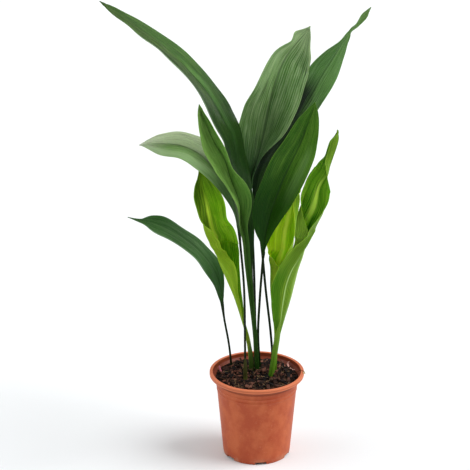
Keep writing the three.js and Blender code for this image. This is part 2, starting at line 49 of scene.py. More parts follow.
# Studio: a large pale floor, a white surround that is darker behind the camera, and wide lamps
# with the side that they shine from, their spread in degrees and their strength
FLOOR_SIZE = 30000
FLOOR_COLOUR = (0.8685, 0.8865, 0.9, 1)
WORLD_FRONT = 0.34
WORLD_BACK = 0.62
SUNS = {
    "key": ((1.0, -0.1, 1.2), 40, 2.35),
    "rim": ((-1.0, -0.1, 0.9), 50, 0.7),
}

# Pot, as the CAD frame has it
POT_HEIGHT = 131
RIM_RADIUS = 70
RIM_INNER_RADIUS = 65
RIM_HEIGHT = 5.6
LIP_HEIGHT = POT_HEIGHT - RIM_HEIGHT
NECK_RADIUS = 60.5
NECK_HEIGHT = 119.5
BASE_RADIUS = 49.5
WALL = 1.6
FLOOR = 2.2
NOTCH_COUNT = 6
NOTCH_WIDTH = 17
NOTCH_HEIGHT = 4
NOTCH_DEPTH = 7
FRONT_NOTCH_ANGLE = -83

# Fine form of the pot: rounding steps, a raised middle below, a second shoulder above the frame's
# own one, flat lands beside the lip's groove, and flutes and dents in the wall
POT_SIDES = 240
ARC_STEPS = 6
UNDERSIDE_RADIUS = 36
UNDERSIDE_RISE = 1.2
SHOULDER_HEIGHTS = (104, 110.5)
SHOULDER_STEP = 0.55
LIP_GROOVE = 0.35
OUTER_LAND = 1.6
INNER_LAND = 1.3
GROOVE_SLOPE = 0.5
FLUTE_RATE_ROUND = 3
FLUTE_RATE_UP = 0.012
FLUTE_DEPTH = 0.22
DENT_RATE = 3.1
DENT_DEPTH = 0.1

# Soil, as the CAD frame has it
GAP = 0.3
SOIL_LEVEL = 122.3
HEAP_HEIGHT = 4.5
HEAP_RADIUS = 30
HEAP_CENTRE = (4, 12)
SOIL_ROUGHNESS = 1.1

# Fine form of the soil: scales and heights of its lumps and grit, how calm its edge is, and the
# room that is left free of loose pieces round the stalks and by the rim
SOIL_RINGS = 64
SOIL_SIDES = 200
LUMPS = ((0.16, 3.2), (0.42, 2.2))
GRIT = (1.1, 0.6)
PIT_DEPTH = 2.2
EDGE_CALM = 0.4
STALK_ROOM = (3, 6)
RIM_FADE = 2.5

# Leaves, as the CAD frame has them
PETIOLE_RADIUS = 1.8
STALK_END_WIDTH = PETIOLE_RADIUS * 1.1
BLADE_START_WIDTH = PETIOLE_RADIUS * 2.6
STALK_LIMIT = 3.4
RIPPLE_RATE = 34
RIPPLE_LEAD = 2.1
WRAP_FROM = 0.42
WRAP_TO = 0.58
STATION_COLUMNS = 9
CAD_BLADE_STEPS = 3
CAD_STALK_STEPS = 2

# Fine form of the leaves
ROW_PITCH = 2.6
COLUMN_PITCH = 1.1
FEWEST_ROWS = 3
FEWEST_COLUMNS = 20
MOST_COLUMNS = 74
BLADE_THICKNESS = 0.6
MARGIN_THINNING = 0.5
MIDRIB_HEIGHT = 0.9
MIDRIB_WIDTH = 1.5
GROOVE_DEPTH = 0.21
GROOVE_WIDTH = MIDRIB_WIDTH / 1.6
CREASE_SHARE = 0.07
PLEAT_COUNT = 8
PLEAT_HEIGHT = 0.16
SWELL_HEIGHT = 0.7
SWELL_WAVES = 5
SWELL_ACROSS = 1.3
SWELL_ALONG = (8, 22)
CHANNEL_DEPTH = 0.22
CHANNEL_WIDTH = 0.5
LEAF_SEED_STEP = 10
SHEATH_SEED = 200
STREAK_SEED_STEP = 3.7

# Stations from the foot to the tip: the midrib's place, the half width, the turn of the blade
# about the midrib, the fold of both halves to the front and the curl by the margins, in degrees.
# Where a blade is rolled, two more angles say how far the outer half of its left and of its
# right side are folded over to the front. Angles left out at the end of a row are 0.
LEAVES = {
    "arching_left": [
        (-1, 22, 104, 1.9, -30),
        (-4, 20, 185, 1.8, -30),
        (-8, 20, 268, 2.2, -30),
        (-10.5, 20, 303, 5, -30, 20),
        (-14, 21, 339, 9.5, -33, 25),
        (-15.5, 24, 380, 13.5, -48, 18),
        (-22.5, 27, 415, 19, -58, 10),
        (-30, 28, 450, 27, -65, 9, -5),
        (-38, 28, 490, 36, -70, 7, -10),
        (-52, 26, 519, 37, -74, 9, -10),
        (-70, 28, 552, 38, -78, 10, -10),
        (-98, 32, 586, 36, -82, 11, -8),
        (-133, 36, 621, 29, -84, 8, -5),
        (-173, 38, 652, 19, -76, 4),
        (-202, 38, 672, 9, -72),
        (-223, 37, 688, 0.6, -70),
    ],
    "broad_back": [
        (1, 30, 104, 1.9),
        (-2, 30, 185, 1.8),
        (-4, 32, 269, 1.8),
        (-6.5, 36, 328, 1.8),
        (-10, 44, 375, 1.9, 10),
        (-11.5, 49, 391, 3.5, 20, 30),
        (-8, 58, 416, 14, 23, 64),
        (1.5, 69, 443, 32, 38, 50),
        (10.5, 78, 482, 40, 20, 38, -5),
        (17, 74, 521, 42, -2, 33, -8),
        (27, 67, 561, 43.5, -26, 27, -8),
        (38, 71, 590.5, 41.5, -32, 27, -6),
        (54, 79, 610.5, 31, -20, 42),
        (67, 84, 624, 12, 0, 18),
        (76, 88, 636, 0.6, 0, 10),
    ],
    "twisted_right": [
        (26, 32, 104, 1.9),
        (21, 32, 175, 1.8),
        (13, 33, 248, 1.8),
        (8, 36, 302, 1.8),
        (2, 47, 352, 1.8, -10),
        (-2.5, 57, 376.5, 2.3, -19, 25),
        (0.5, 67, 395.5, 9, -5, 14),
        (11, 82, 425, 19, -33, 2),
        (47, 86, 478.5, 26, -32, 9, -8),
        (72, 95, 519.5, 33, -38, 5, -10),
        (94, 101, 558, 33, -40, 5, -10),
        (113, 103, 589, 25, -44, 3, -6),
        (127, 104, 611, 11, -50),
        (134, 106, 622, 3.5, -46),
        (143, 109, 631, 6, -40, 15),
        (153, 111, 643, 5.5, -27, 5),
        (164, 112, 657, 0.6, -20),
    ],
    "front_right": [
        (7, 24, 104, 1.9),
        (2, 20, 175, 1.8),
        (4, 13, 240, 1.8),
        (8, 5, 303, 1.8, 20, 10),
        (10, 1, 328, 5, 35, 30),
        (13, -3, 356, 17, 35, 35),
        (20, -8, 388, 28, 28, 35, -4),
        (29, -13, 418, 31, 14, 36, -6),
        (42, -19, 455, 31, 5, 28, -8),
        (56, -23, 487, 29, 4, 29, -6),
        (65, -26, 512, 24, 3, 30, -4),
        (72, -28, 534, 16, 2, 25),
        (77, -29, 549, 8, 0, 15),
        (80, -30, 561, 0.6, 0, 10),
    ],
    "front_left": [
        (2, 13, 104, 3.2),
        (-2, 10, 176, 3.4, 0, 20),
        (-8, 5, 243, 4.5, 0, 36),
        (-13.5, -2, 302, 5.8, 0, 40),
        (-17, -8, 343, 6.8, -3, 47),
        (-23, -14, 374, 13.5, -14, 68),
        (-27, -21, 410, 21.3, -29, 57, -4),
        (-38, -27, 443, 24.8, -19, 63, -6),
        (-47, -31, 475, 25.8, 10, 66, -8),
        (-60.5, -33, 501, 24, 6, 57, -8),
        (-71.5, -35, 526, 17, 5, 53, -4),
        (-79, -36, 545, 8, 0, 45),
        (-82.5, -37, 560, 0.6, 0, 20),
    ],
    "bent_left": [
        (-17, -12, 104, 1.9, -30),
        (-17.5, -11, 170, 1.7, -30),
        (-19, -6, 264, 1.7, -30),
        (-24.5, 2, 331, 1.8, -45),
        (-28, 5, 366, 5, -50, 10),
        (-37, 4, 406, 12, -40, 14, -4),
        (-55, 3, 440, 22, -22, 42, -6),
        (-81, 4, 469.5, 28, -21, 45, -8),
        (-108, 2, 484, 27, -22, 48, -6),
        (-134, 0, 488, 21, -14, 42, -4),
        (-154, -2, 488.5, 9, -5, 20),
        (-169, -3, 487, 0.6, 0, 10),
    ],
    "bright_left": [
        (-6, 16, 104, 3),
        (-11.5, 14, 166, 3.2, -20, 20),
        (-20.5, 12, 203, 4.5, -50, 35),
        (-32.5, 10, 244, 10.7, -78, 50, 0, 25, 24),
        (-44.5, 12, 274, 23.4, -76, 54, 0, 22, 21),
        (-56.5, 14, 304, 33.3, -69, 40, 0, 56, 32),
        (-59, 12, 326, 34, -54, 24, 0, 112, 31),
        (-58.5, 8, 340, 32.2, -18, 24, 0, 124, 27),
        (-64, 4, 356, 27.7, -10, 13, 0, 134),
        (-68, 0, 378, 27.6, 1, 25, 0, 72, 10),
        (-73.5, -3, 404, 23.4, -23, 20, 0, 15, 3),
        (-78, -3, 422, 19.5, -24, 23),
        (-79.5, -3, 437, 8.8, -17, 10),
        (-84, -3, 452, 0.6, -26, 10),
    ],
    "drooping_low": [
        (-36, 32, 104, 1.8, -30),
        (-41, 36, 155, 1.6, -30),
        (-48, 41, 195, 1.6, -35),
        (-51.5, 43, 222, 3, -42),
        (-55.5, 44, 250, 11, -48, 4),
        (-65, 44, 277.5, 18, -56, 4, -4),
        (-82, 44, 301.5, 22, -70, 4, -6),
        (-104, 43, 322.5, 22, -74, 2, -6),
        (-130, 41, 341, 18.5, -62, 0, -4),
        (-154, 39, 352, 11, -35),
        (-171, 38, 355, 3, -30),
        (-189, 37, 361, 0.6, -30),
    ],
    "striped_right": [
        (27, 12, 104, 2),
        (28, 13, 167, 3, 0, 15, 0, 40, 40),
        (28, 15, 206, 8, 0, 15, 0, 120, 110),
        (26.5, 17, 246, 18.8, -20, 27, 0, 139, 117),
        (30.5, 19, 277.5, 25, -6, 18, 0, 138, 118),
        (30, 20, 290.5, 28.5, 0, 34, 0, 145, 116),
        (33, 20, 300.5, 34, 22, 13, 0, 135, 115),
        (37.5, 20, 316, 28, 4, 21, 0, 30, 106),
        (40, 19, 340, 28.3, -6, -8, 0, 30, 108),
        (45.5, 17, 372, 25, -10, 5, 0, 3, 119),
        (51, 16, 400, 22.5, -5, 18, 0, 0, 146),
        (54, 14, 420, 12.5, 3, 34, 0, 0, 10),
        (59, 12, 436, 0.6, 0, 10),
    ],
    "folded_right": [
        (18.6, -2, 104, 2.6),
        (24.8, -3, 153, 3, 20, 10),
        (31.5, -4, 185, 4.2, 50, 30, 0, 20, 20),
        (38.5, -3, 212, 16.5, 79, 56, 0, 28, 24),
        (48.5, -2, 248, 33.5, 81, 60, 0, 58, 26),
        (54, -2, 272.5, 40, 78.5, 62.5, 0, 80, 25),
        (59.5, -3, 296.5, 40.5, 74.5, 57.5, 0, 80, 25),
        (66.5, -6, 321, 35, 69, 45, 0, 104, 61),
        (70, -9, 345, 31.5, 45, 37, 0, 119, 94),
        (68, -12, 368, 38, -6, 40, 0, 120, 94),
        (80.4, -16, 398, 36, 21, 18, 0, 92, 68),
        (87.5, -15, 429, 21, 22, 16, 0, 20, 2),
        (99, -13, 446, 21, 53, 43, 5),
        (102.8, -11, 458, 17.5, 60, 47, 12),
        (107.5, -10, 472, 12.5, 76, 62, 26),
        (112.5, -8, 487, 12.3, 90, 54, 26),
        (115, -6, 499, 10, 92, 40, 22),
        (113, -5, 511, 0.6, 60, 20),
    ],
}
SHEATHS = {
    "bent_left": [
        (-17, -15, 114, 4.9, 180, 0, 95),
        (-17.1, -14.8, 132, 4.6, 180, 0, 88),
        (-17.3, -14.2, 148, 2.8, 180, 0, 54),
        (-17.5, -13.8, 158, 0.9, 180, 0, 12),
    ],
    "bright_left": [
        (-7.4, 11.4, 114, 4.6, 180, 0, 62),
        (-8.2, 10.5, 140, 4.2, 180, 0, 57),
        (-9.4, 9.5, 158, 3, 180, 0, 38),
        (-10, 8.8, 172, 0.9, 180, 0, 12),
    ],
    "folded_right": [
        (19.6, -6.8, 114, 6.4, 180, 0, 95),
        (25, -8.8, 152, 6.2, 178, 0, 88),
        (29.4, -12.6, 186, 5.2, 175, 0, 66),
        (33.4, -16.5, 217, 0.9, 172, 0, 12),
    ],
}
RIPPLES = {
    "arching_left": 1.2, "broad_back": 1.5, "twisted_right": 1.2, "front_right": 1.3, "front_left": 1,
    "bent_left": 1.2, "bright_left": 1.2, "drooping_low": 0.8, "striped_right": 0.6, "folded_right": 0.8,
}

# Colours and markings of each leaf. Halves are left and right of the midrib, seen on the upper
# face. On many leaves one half is lit and the other in shade, so the colours of the halves hold
# painted light and shade besides the leaf's own green. The colour of the base is gone at the first
# share of the blade's length in base_span and full at the second; on the darker leaves it is
# painted shade low in the plant, on the young ones their own paler base. Streaks says how strong
# the streaks are. A stripe has a place between the left margin, -1, and the right one, 1, a width,
# a start and an end in shares of the blade's length, a strength and a colour. Some stripes are the
# leaf's own, and some are painted highlights, sheens and shadows. Under stripes lie on the under face.
COMMON_LOOK = dict(stalk="#15240f", rib=0.5, stripes=(), under_stripes=())
LEAF_LOOKS = {
    "arching_left": dict(
        # Painted shade darkens the near left half and the base; the first stripe is a painted highlight
        # right of the midrib, the second painted shade by the left margin
        slot="leaf_dark", left="#263f14", right="#2c561a", base="#12300a", base_span=(0.75, 0.35),
        tip="#203c0e", streak="#789c4e", streaks=0.35, under="#4f7040", stalk="#15300c",
        roughness=0.4, gloss=0.12,
        stripes=[(0.22, 0.2, 0.35, 0.75, 0.5, "#66984c"), (-0.8, 0.3, 0.05, 0.9, 0.6, "#1c3414"),
                 (-0.96, 0.06, 0.05, 0.95, 0.8, "#8aa080")],
    ),
    "broad_back": dict(
        # The pale greyish green of the halves and tip is partly a painted sheen over the leaf's green, and
        # the dark base is painted shade
        slot="leaf_dark", left="#6a924c", right="#5a8440", base="#244a28", base_span=(0.45, 0.1),
        tip="#8aa274", streak="#bcd4a0", streaks=0.5, under="#5f8050",
        roughness=0.42, gloss=0.15, rib=0.6,
    ),
    "twisted_right": dict(
        # Painted shade: the near-black base, and the near-black stripe over the left half, which is the
        # shadow that the broad back leaf casts on it
        slot="leaf_dark", left="#3c6c28", right="#52803a", base="#081c06", base_span=(0.62, 0.3),
        tip="#6c9048", streak="#8cb072", streaks=0.3, under="#5a7c48",
        roughness=0.42, gloss=0.05,
        stripes=[(-0.6, 1.2, -0.1, 0.66, 1.0, "#031202")],
    ),
    "front_right": dict(
        # The bright left half and greyer right half are painted light and shade, the dark base is painted
        # shade and the stripe on the right half is a painted sheen
        slot="leaf_mid", left="#144804", right="#3c6c10", base="#123c04", base_span=(0.72, 0.3),
        tip="#2a5e0a", streak="#7aa83c", streaks=0.3, under="#4c7a30", stalk="#16280c",
        roughness=0.45, gloss=0.08, rib=0.7,
        stripes=[(0.62, 0.3, 0.3, 0.8, 0.45, "#6f9450")],
    ),
    "front_left": dict(
        # The lighter left half and darker right half are painted light and shade, and the dark base is
        # painted shade
        slot="leaf_mid", left="#7aa84c", right="#54882c", base="#1c440a", base_span=(0.74, 0.36),
        tip="#2a5800", streak="#9cc468", streaks=0.3, under="#2c5c18", stalk="#17400c",
        roughness=0.48, gloss=0.1, rib=0.8,
    ),
    "bent_left": dict(
        # Painted highlight: the very pale right half, tip and stripe are the sheen of the bright sky on the
        # leaf; the dark base is painted shade
        slot="leaf_mid", left="#74a050", right="#d8e8bc", base="#0a3002", base_span=(0.7, 0.3),
        tip="#d4dcc0", streak="#b8d09c", streaks=0.35, under="#749860",
        roughness=0.46, gloss=0.1,
        stripes=[(-0.75, 0.4, 0.45, 1.2, 0.6, "#9cb888")],
    ),
    "bright_left": dict(
        slot="leaf_young", left="#225400", right="#60a000", base="#78981c", base_span=(0.32, 0.02),
        tip="#1c4400", streak="#b8dc38", streaks=0.4, under="#7ca01e", stalk="#94ac3c",
        roughness=0.48, gloss=0.04, rib=0.2,
        stripes=[(-0.3, 0.3, 0.1, 0.75, 0.6, "#8cc008"), (-0.06, 0.16, 0.12, 0.9, 0.95, "#c8e444")],
    ),
    "drooping_low": dict(
        # The dark base is painted shade
        slot="leaf_dark", left="#457636", right="#265c18", base="#18440e", base_span=(0.45, 0.1),
        tip="#345e26", streak="#8cb47c", streaks=0.3, under="#5f8052",
        roughness=0.4, gloss=0.1,
        stripes=[(-0.94, 0.08, 0.0, 0.95, 0.6, "#8cac88")],
    ),
    "striped_right": dict(
        slot="leaf_young", left="#b4e40c", right="#a8e00c", base="#4a7a0c", base_span=(0.1, 0.0),
        tip="#a0d820", streak="#e0f840", streaks=0.5, under="#6a9c28", stalk="#4f7a14",
        roughness=0.55, gloss=0.03, rib=0.0,
        # The last stripe, dark green over the right half, is painted shade; the two pale ones are the
        # leaf's own stripes
        stripes=[(-0.02, 0.18, 0.0, 1.1, 0.95, "#e4fc58"), (-0.45, 0.09, 0.05, 1.0, 0.7, "#dcff40"),
                 (0.75, 0.35, 0.1, 1.0, 0.6, "#5f9410")],
    ),
    "folded_right": dict(
        slot="leaf_young", left="#4c8c04", right="#488604", base="#567e20", base_span=(0.2, 0.0),
        tip="#7c9c40", streak="#a8d440", streaks=0.45, under="#5c8020", stalk="#4f8410",
        roughness=0.48, gloss=0.04, rib=0.0,
        stripes=[(0.0, 0.16, 0.2, 0.85, 0.95, "#dcf868")],
        # The first under stripe, dark green over the right half of the under face, is painted shade
        under_stripes=[(0.82, 0.36, -0.1, 0.45, 0.85, "#3a7008"), (0.44, 0.05, -0.1, 0.5, 0.8, "#b0cc80"),
                       (0.05, 0.1, -0.1, 0.8, 0.6, "#9cbc6c")],
    ),
}

# A sheath's own colour, and the one that it turns to at its edges and over a span towards its tip
SHEATH_LOOKS = {
    "bent_left": dict(slot="sheath_dry", colour="#6f7830", turned="#1c140a", span=(0.05, 0.4)),
    "bright_left": dict(slot="sheath_young", colour="#26420e", turned="#5c7a2c", span=(0.3, 1.0)),
    "folded_right": dict(slot="sheath_young", colour="#46780c", turned="#7ca034", span=(0.3, 1.0)),
}


# Colours and node helpers

def linear(code):
    """A colour code such as #a04020 as Blender's linear colour."""
    channels = [int(code[start:start + 2], 16) / 255 for start in (1, 3, 5)]
    return tuple(c / 12.92 if c <= 0.04045 else ((c + 0.055) / 1.055) ** 2.4 for c in channels) + (1,)


class Nodes:
    """A node tree under construction, with short names for the nodes that it uses often."""

    def __init__(self, tree):
        self.tree = tree

    def feed(self, socket, value):
        """Links a socket to another node's output, or sets it to a plain value."""
        if isinstance(value, bpy.types.NodeSocket):
            self.tree.links.new(value, socket)
        elif isinstance(value, str) and value.startswith("#"):
            socket.default_value = linear(value)
        else:
            socket.default_value = value

    def add(self, kind, inputs=(), **settings):
        """A new node with its settings, and its inputs given by name or number."""
        node = self.tree.nodes.new(kind)
        for name, value in settings.items():
            setattr(node, name, value)
        for name, value in dict(inputs).items():
            self.feed(node.inputs[name], value)
        return node

    def out(self, kind, inputs=(), **settings):
        """The first output of a new node."""
        return self.add(kind, inputs, **settings).outputs[0]

    def math(self, operation, first, second=0.0):
        return self.out("ShaderNodeMath", {0: first, 1: second}, operation=operation)

    def times(self, first, second):
        return self.math("MULTIPLY", first, second)

    def plus(self, first, second):
        return self.math("ADD", first, second)

    def distance(self, first, second):
        return self.math("ABSOLUTE", self.math("SUBTRACT", first, second))

    def join(self, x=0.0, y=0.0, z=0.0):
        return self.out("ShaderNodeCombineXYZ", {0: x, 1: y, 2: z})

    def ramp(self, value, low, high, start=0.0, end=1.0):
        """A smooth step of a value from low to high, put out from start to end."""
        inputs = {"Value": value, "From Min": low, "From Max": high, "To Min": start, "To Max": end}
        return self.out("ShaderNodeMapRange", inputs, interpolation_type="SMOOTHSTEP")


class Surface(Nodes):
    """A material under construction."""

    def __init__(self, name):
        self.material = bpy.data.materials.new(name)
        self.material.use_nodes = True
        super().__init__(self.material.node_tree)
        self.tree.nodes.clear()
        self.shader = self.add("ShaderNodeBsdfPrincipled")
        self.add("ShaderNodeOutputMaterial", {"Surface": self.shader.outputs["BSDF"]})

    def set(self, **values):
        for name, value in values.items():
            self.feed(self.shader.inputs[name.replace("_", " ")], value)

    def attribute(self, name):
        return self.add("ShaderNodeAttribute", attribute_name=name).outputs["Fac"]

    def place(self):
        return self.add("ShaderNodeTexCoord").outputs["Object"]

    def mix(self, below, above, share):
        inputs = {0: share, 6: below, 7: above}
        return self.add("ShaderNodeMix", inputs, data_type="RGBA").outputs[2]

    def layers(self, colour, tints):
        """A colour under tints, each mixed in up to its share where a value goes from low to high."""
        for tint, value, low, high, share in tints:
            colour = self.mix(colour, tint, self.ramp(value, low, high, 0, share))
        return colour

    def noise(self, vector, scale, detail, roughness=0.5):
        inputs = {"Vector": vector, "Scale": scale, "Detail": detail, "Roughness": roughness}
        return self.out("ShaderNodeTexNoise", inputs)

    def bump(self, height, distance, strength):
        inputs = {"Height": height, "Distance": distance, "Strength": strength}
        self.set(Normal=self.out("ShaderNodeBump", inputs))


class ShapeTree(Nodes):
    """A Geometry Nodes tree under construction, with an input for each named value."""

    def __init__(self, name, values):
        super().__init__(bpy.data.node_groups.new(name, "GeometryNodeTree"))
        sockets = self.tree.interface
        sockets.new_socket("Geometry", in_out="INPUT", socket_type="NodeSocketGeometry")
        for label, value in values.items():
            kind = "NodeSocketInt" if isinstance(value, int) else "NodeSocketFloat"
            sockets.new_socket(label, in_out="INPUT", socket_type=kind)
        sockets.new_socket("Geometry", in_out="OUTPUT", socket_type="NodeSocketGeometry")
        self.values = values
        self.given = self.add("NodeGroupInput").outputs

    def vector(self, operation, inputs):
        return self.out("ShaderNodeVectorMath", inputs, operation=operation)

    def finish(self, geometry, material):
        """Ends the tree with plain geometry in one material."""
        whole = self.out("GeometryNodeRealizeInstances", {0: geometry})
        painted = self.out("GeometryNodeSetMaterial", {"Geometry": whole, "Material": material})
        self.add("NodeGroupOutput", {0: painted})

    def run(self, base):
        """Puts the plain mesh that the tree makes from an object in that object's place."""
        modifier = base.modifiers.new(self.tree.name, "NODES")
        modifier.node_group = self.tree
        for item in self.tree.interface.items_tree:
            if item.name in self.values:
                modifier[item.identifier] = self.values[item.name]
        graph = bpy.context.evaluated_depsgraph_get()
        mesh = bpy.data.meshes.new_from_object(base.evaluated_get(graph))
        base.modifiers.remove(modifier)
        base.data = mesh


# Meshes and pieces

def mesh_object(name, points, faces, material, facts=None, sharp=50):
    """An object with the mesh of these points, in millimetres, and its attributes."""
    mesh = bpy.data.meshes.new(name)
    mesh.from_pydata((np.asarray(points) * MM).tolist(), [], faces)
    for fact, values in (facts or {}).items():
        mesh.attributes.new(fact, "FLOAT", "POINT").data.foreach_set("value", values.astype(np.float32))
    mesh.shade_smooth()
    mesh.set_sharp_from_angle(angle=math.radians(sharp))
    mesh.materials.append(material)
    piece = bpy.data.objects.new(name, mesh)
    bpy.context.scene.collection.objects.link(piece)
    return piece


def hand_over(piece, slot, *nodes):
    """Rides the piece on the plant's one body in place of its CAD nodes; slot is not used."""
    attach(piece, "root")
    if nodes:
        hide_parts(*nodes)


def side_angles(sides):
    return 2 * math.pi * np.arange(sides) / sides


def circle(radius, height, sides):
    """A level ring of points, with one radius or one for each side."""
    angles = side_angles(sides)
    return np.stack([radius * np.cos(angles), radius * np.sin(angles), np.full(sides, height)], -1)


def round_body(start, rings, end):
    """Points and faces of a closed body with rings of points between a first and a last point."""
    points = np.concatenate([[start], *rings, [end]])
    sides = len(rings[0])
    side = np.arange(sides)
    following = (side + 1) % sides
    low = 1 + sides * np.arange(len(rings) - 1)[:, None]
    high = low + sides
    last = high[-1]
    bands = np.stack([low + side, high + side, high + following, low + following], -1).reshape(-1, 4)
    first_fan = np.stack([0 * side, 1 + side, 1 + following], -1)
    last_fan = np.stack([last + sides + 0 * side, last + following, last + side], -1)
    return points, first_fan.tolist() + bands.tolist() + last_fan.tolist()


def unit(vectors):
    return vectors / np.linalg.norm(vectors, axis=-1, keepdims=True)


def smooth_step(value, low, high):
    t = np.clip((value - low) / (high - low), 0, 1)
    return t * t * (3 - 2 * t)


def spans(points):
    """Each span of a path: the point before it, its start, its end and the point after it."""
    last = len(points) - 1
    for span in range(last):
        yield [points[min(max(span + step, 0), last)] for step in (-1, 0, 1, 2)]


def hermite(start, end, start_slope, end_slope, t):
    t2 = t * t
    t3 = t2 * t
    return ((2 * t3 - 3 * t2 + 1) * start + (t3 - 2 * t2 + t) * start_slope
            + (3 * t2 - 2 * t3) * end + (t3 - t2) * end_slope)


def smooth_path(before, start, end, after, t):
    """A place on the smooth path through four points, between the middle two."""
    return hermite(start, end, (end - before) / 2, (after - start) / 2, t)


# Leaves and sheaths

# Scales of the streaks across the blade and along it, and lines in each half of the blade
STREAK_WIDE = (4, 12)
STREAK_FINE = (26, 25)
VEIN_LINES = 13
HAIR_LINES = 41

# How strongly both kinds of lines, the under face's colour and the colours of base and tip show;
# on the darker leaves the base colour is painted shade, and on some the tip colour a painted sheen
VEIN_SHARE = 0.36
HAIR_SHARE = 0.46
UNDER_SHARE = 0.9
END_SHARE = 0.85

# A stripe's wander and full core in shares of its width, and its fades in shares of the blade
STRIPE_WANDER = 1.6
STRIPE_CORE = 0.25
STRIPE_FADE_IN = 0.12
STRIPE_FADE_OUT = 0.15


def streak_noise(surface, across, length, seed, scales):
    """Noise drawn out along the blade."""
    vector = surface.join(surface.times(across, scales[0]), surface.times(length, scales[1]), seed)
    return surface.noise(vector, 1, 3, 0.6)


def vein_lines(surface, reach, count, wobble):
    """Fine lines that run with the margins, spread evenly over each half of the blade."""
    shifted = surface.plus(reach, surface.times(wobble, 0.03))
    wave = surface.math("SINE", surface.times(shifted, count * 2 * math.pi))
    return surface.ramp(wave, 0.2, 1.0)


def veined(surface, colour, streak, veins, hairs, reach):
    """The colour with pale veins, the dark lines between them and a pale margin."""
    colour = surface.mix(colour, streak, surface.times(veins, VEIN_SHARE))
    colour = surface.mix(colour, "#10300c", surface.times(hairs, HAIR_SHARE))
    return surface.layers(colour, [(streak, reach, 0.965, 0.995, 0.5)])


def striped(surface, colour, stripes, across, along, wobble):
    """The colour with lengthwise stripes that wander a little and fade out at both ends: the leaf's own,
    and painted light and shade.
    """
    for centre, width, start, end, strength, tint in stripes:
        wander = surface.times(surface.math("SUBTRACT", wobble, 0.5), width * STRIPE_WANDER)
        offset = surface.distance(surface.plus(across, wander), centre)
        share = surface.ramp(offset, width, width * STRIPE_CORE, 0, strength)
        share = surface.times(share, surface.ramp(along, start, start + STRIPE_FADE_IN))
        share = surface.times(share, surface.ramp(along, end, end - STRIPE_FADE_OUT))
        colour = surface.mix(colour, tint, share)
    return colour


def leaf_colour(surface, look, across, along, length, seed):
    """The blade's colour on both faces, with its veins, finer lines and painted light and shade."""
    streak = look["streak"]
    reach = surface.math("ABSOLUTE", across)
    wide_noise = streak_noise(surface, across, length, seed, STREAK_WIDE)
    fine_noise = streak_noise(surface, across, length, seed, STREAK_FINE)
    veins = vein_lines(surface, reach, VEIN_LINES, wide_noise)
    hairs = vein_lines(surface, reach, HAIR_LINES, wide_noise)
    upper = surface.layers(look["left"], [
        (look["right"], across, -0.12, 0.12, 1),
        (look["tip"], along, 0.78, 1.0, END_SHARE),
        (streak, wide_noise, 0.42, 0.72, look["streaks"]),
        (streak, fine_noise, 0.48, 0.7, look["streaks"]),
        ("#0c2408", fine_noise, 0.5, 0.3, 0.6),
    ])
    upper = veined(surface, upper, streak, veins, hairs, reach)
    upper = striped(surface, upper, look["stripes"], across, along, fine_noise)
    under = surface.layers(look["under"], [(streak, wide_noise, 0.42, 0.72, look["streaks"] / 2)])
    under = veined(surface, under, streak, veins, hairs, reach)
    under = striped(surface, under, look["under_stripes"], across, along, fine_noise)
    colour = surface.mix(upper, under, surface.times(surface.attribute("under"), UNDER_SHARE))
    # Over both faces: the base colour, which on the darker leaves is painted shade, and the midrib line
    colour = surface.layers(colour, [
        (look["base"], along, *look["base_span"], END_SHARE),
        ("#12300c", reach, 0.04, 0.014, look["rib"]),
    ])
    return colour, veins, hairs


def leaf_material(name, look, seed):
    """Leathery leaf: green upper face, paler under face, dark stalk and a raised grain of veins."""
    surface = Surface(name)
    across, along, length = (surface.attribute(fact) for fact in ("across", "along", "length"))
    colour, veins, hairs = leaf_colour(surface, look, across, along, length, seed)
    grain = surface.noise(surface.place(), 420, 2)
    colour = surface.layers(colour, [(look["streak"], grain, 0.6, 0.85, 0.12)])
    stalk = surface.layers(look["stalk"], [(look["streak"], grain, 0.55, 0.8, 0.2)])
    surface.set(
        Base_Color=surface.mix(stalk, colour, surface.attribute("blade")),
        Roughness=surface.ramp(grain, 0.3, 0.7, look["roughness"] - 0.04, look["roughness"] + 0.06),
        Specular_IOR_Level=look["gloss"],
        Subsurface_Weight=0.35 if look["slot"] == "leaf_young" else 0.1,
        Subsurface_Radius=(0.6, 1, 0.2),
        Subsurface_Scale=0.002,
    )
    relief = surface.plus(surface.times(veins, 0.6), surface.times(hairs, 0.3))
    surface.bump(surface.plus(relief, surface.times(grain, 0.35)), 0.00025, 0.5)
    return surface.material


def sheath_material(name, look):
    """Papery scale: lengthwise fibres, with another colour towards the tip and along the margins."""
    surface = Surface(name)
    across, along, length = (surface.attribute(fact) for fact in ("across", "along", "length"))
    vector = surface.join(surface.times(across, 14), surface.times(length, 18))
    fibres = surface.noise(vector, 1, 4, 0.6)
    colour = surface.layers(look["colour"], [
        (look["turned"], fibres, 0.4, 0.7, 0.6),
        (look["turned"], along, *look["span"], 0.7),
        (look["turned"], surface.math("ABSOLUTE", across), 0.85, 1.0, 0.6),
    ])
    surface.set(Base_Color=colour, Roughness=0.55, Specular_IOR_Level=0.15)
    surface.bump(fibres, 0.0004, 0.6)
    return surface.material


def gentle_slope(before, here, after):
    """A station's slope that never overshoots its neighbours."""
    rise = here - before
    following = after - here
    turning = rise * following <= 0
    return np.where(turning, 0, 2 * rise * following / np.where(turning, 1, rise + following))


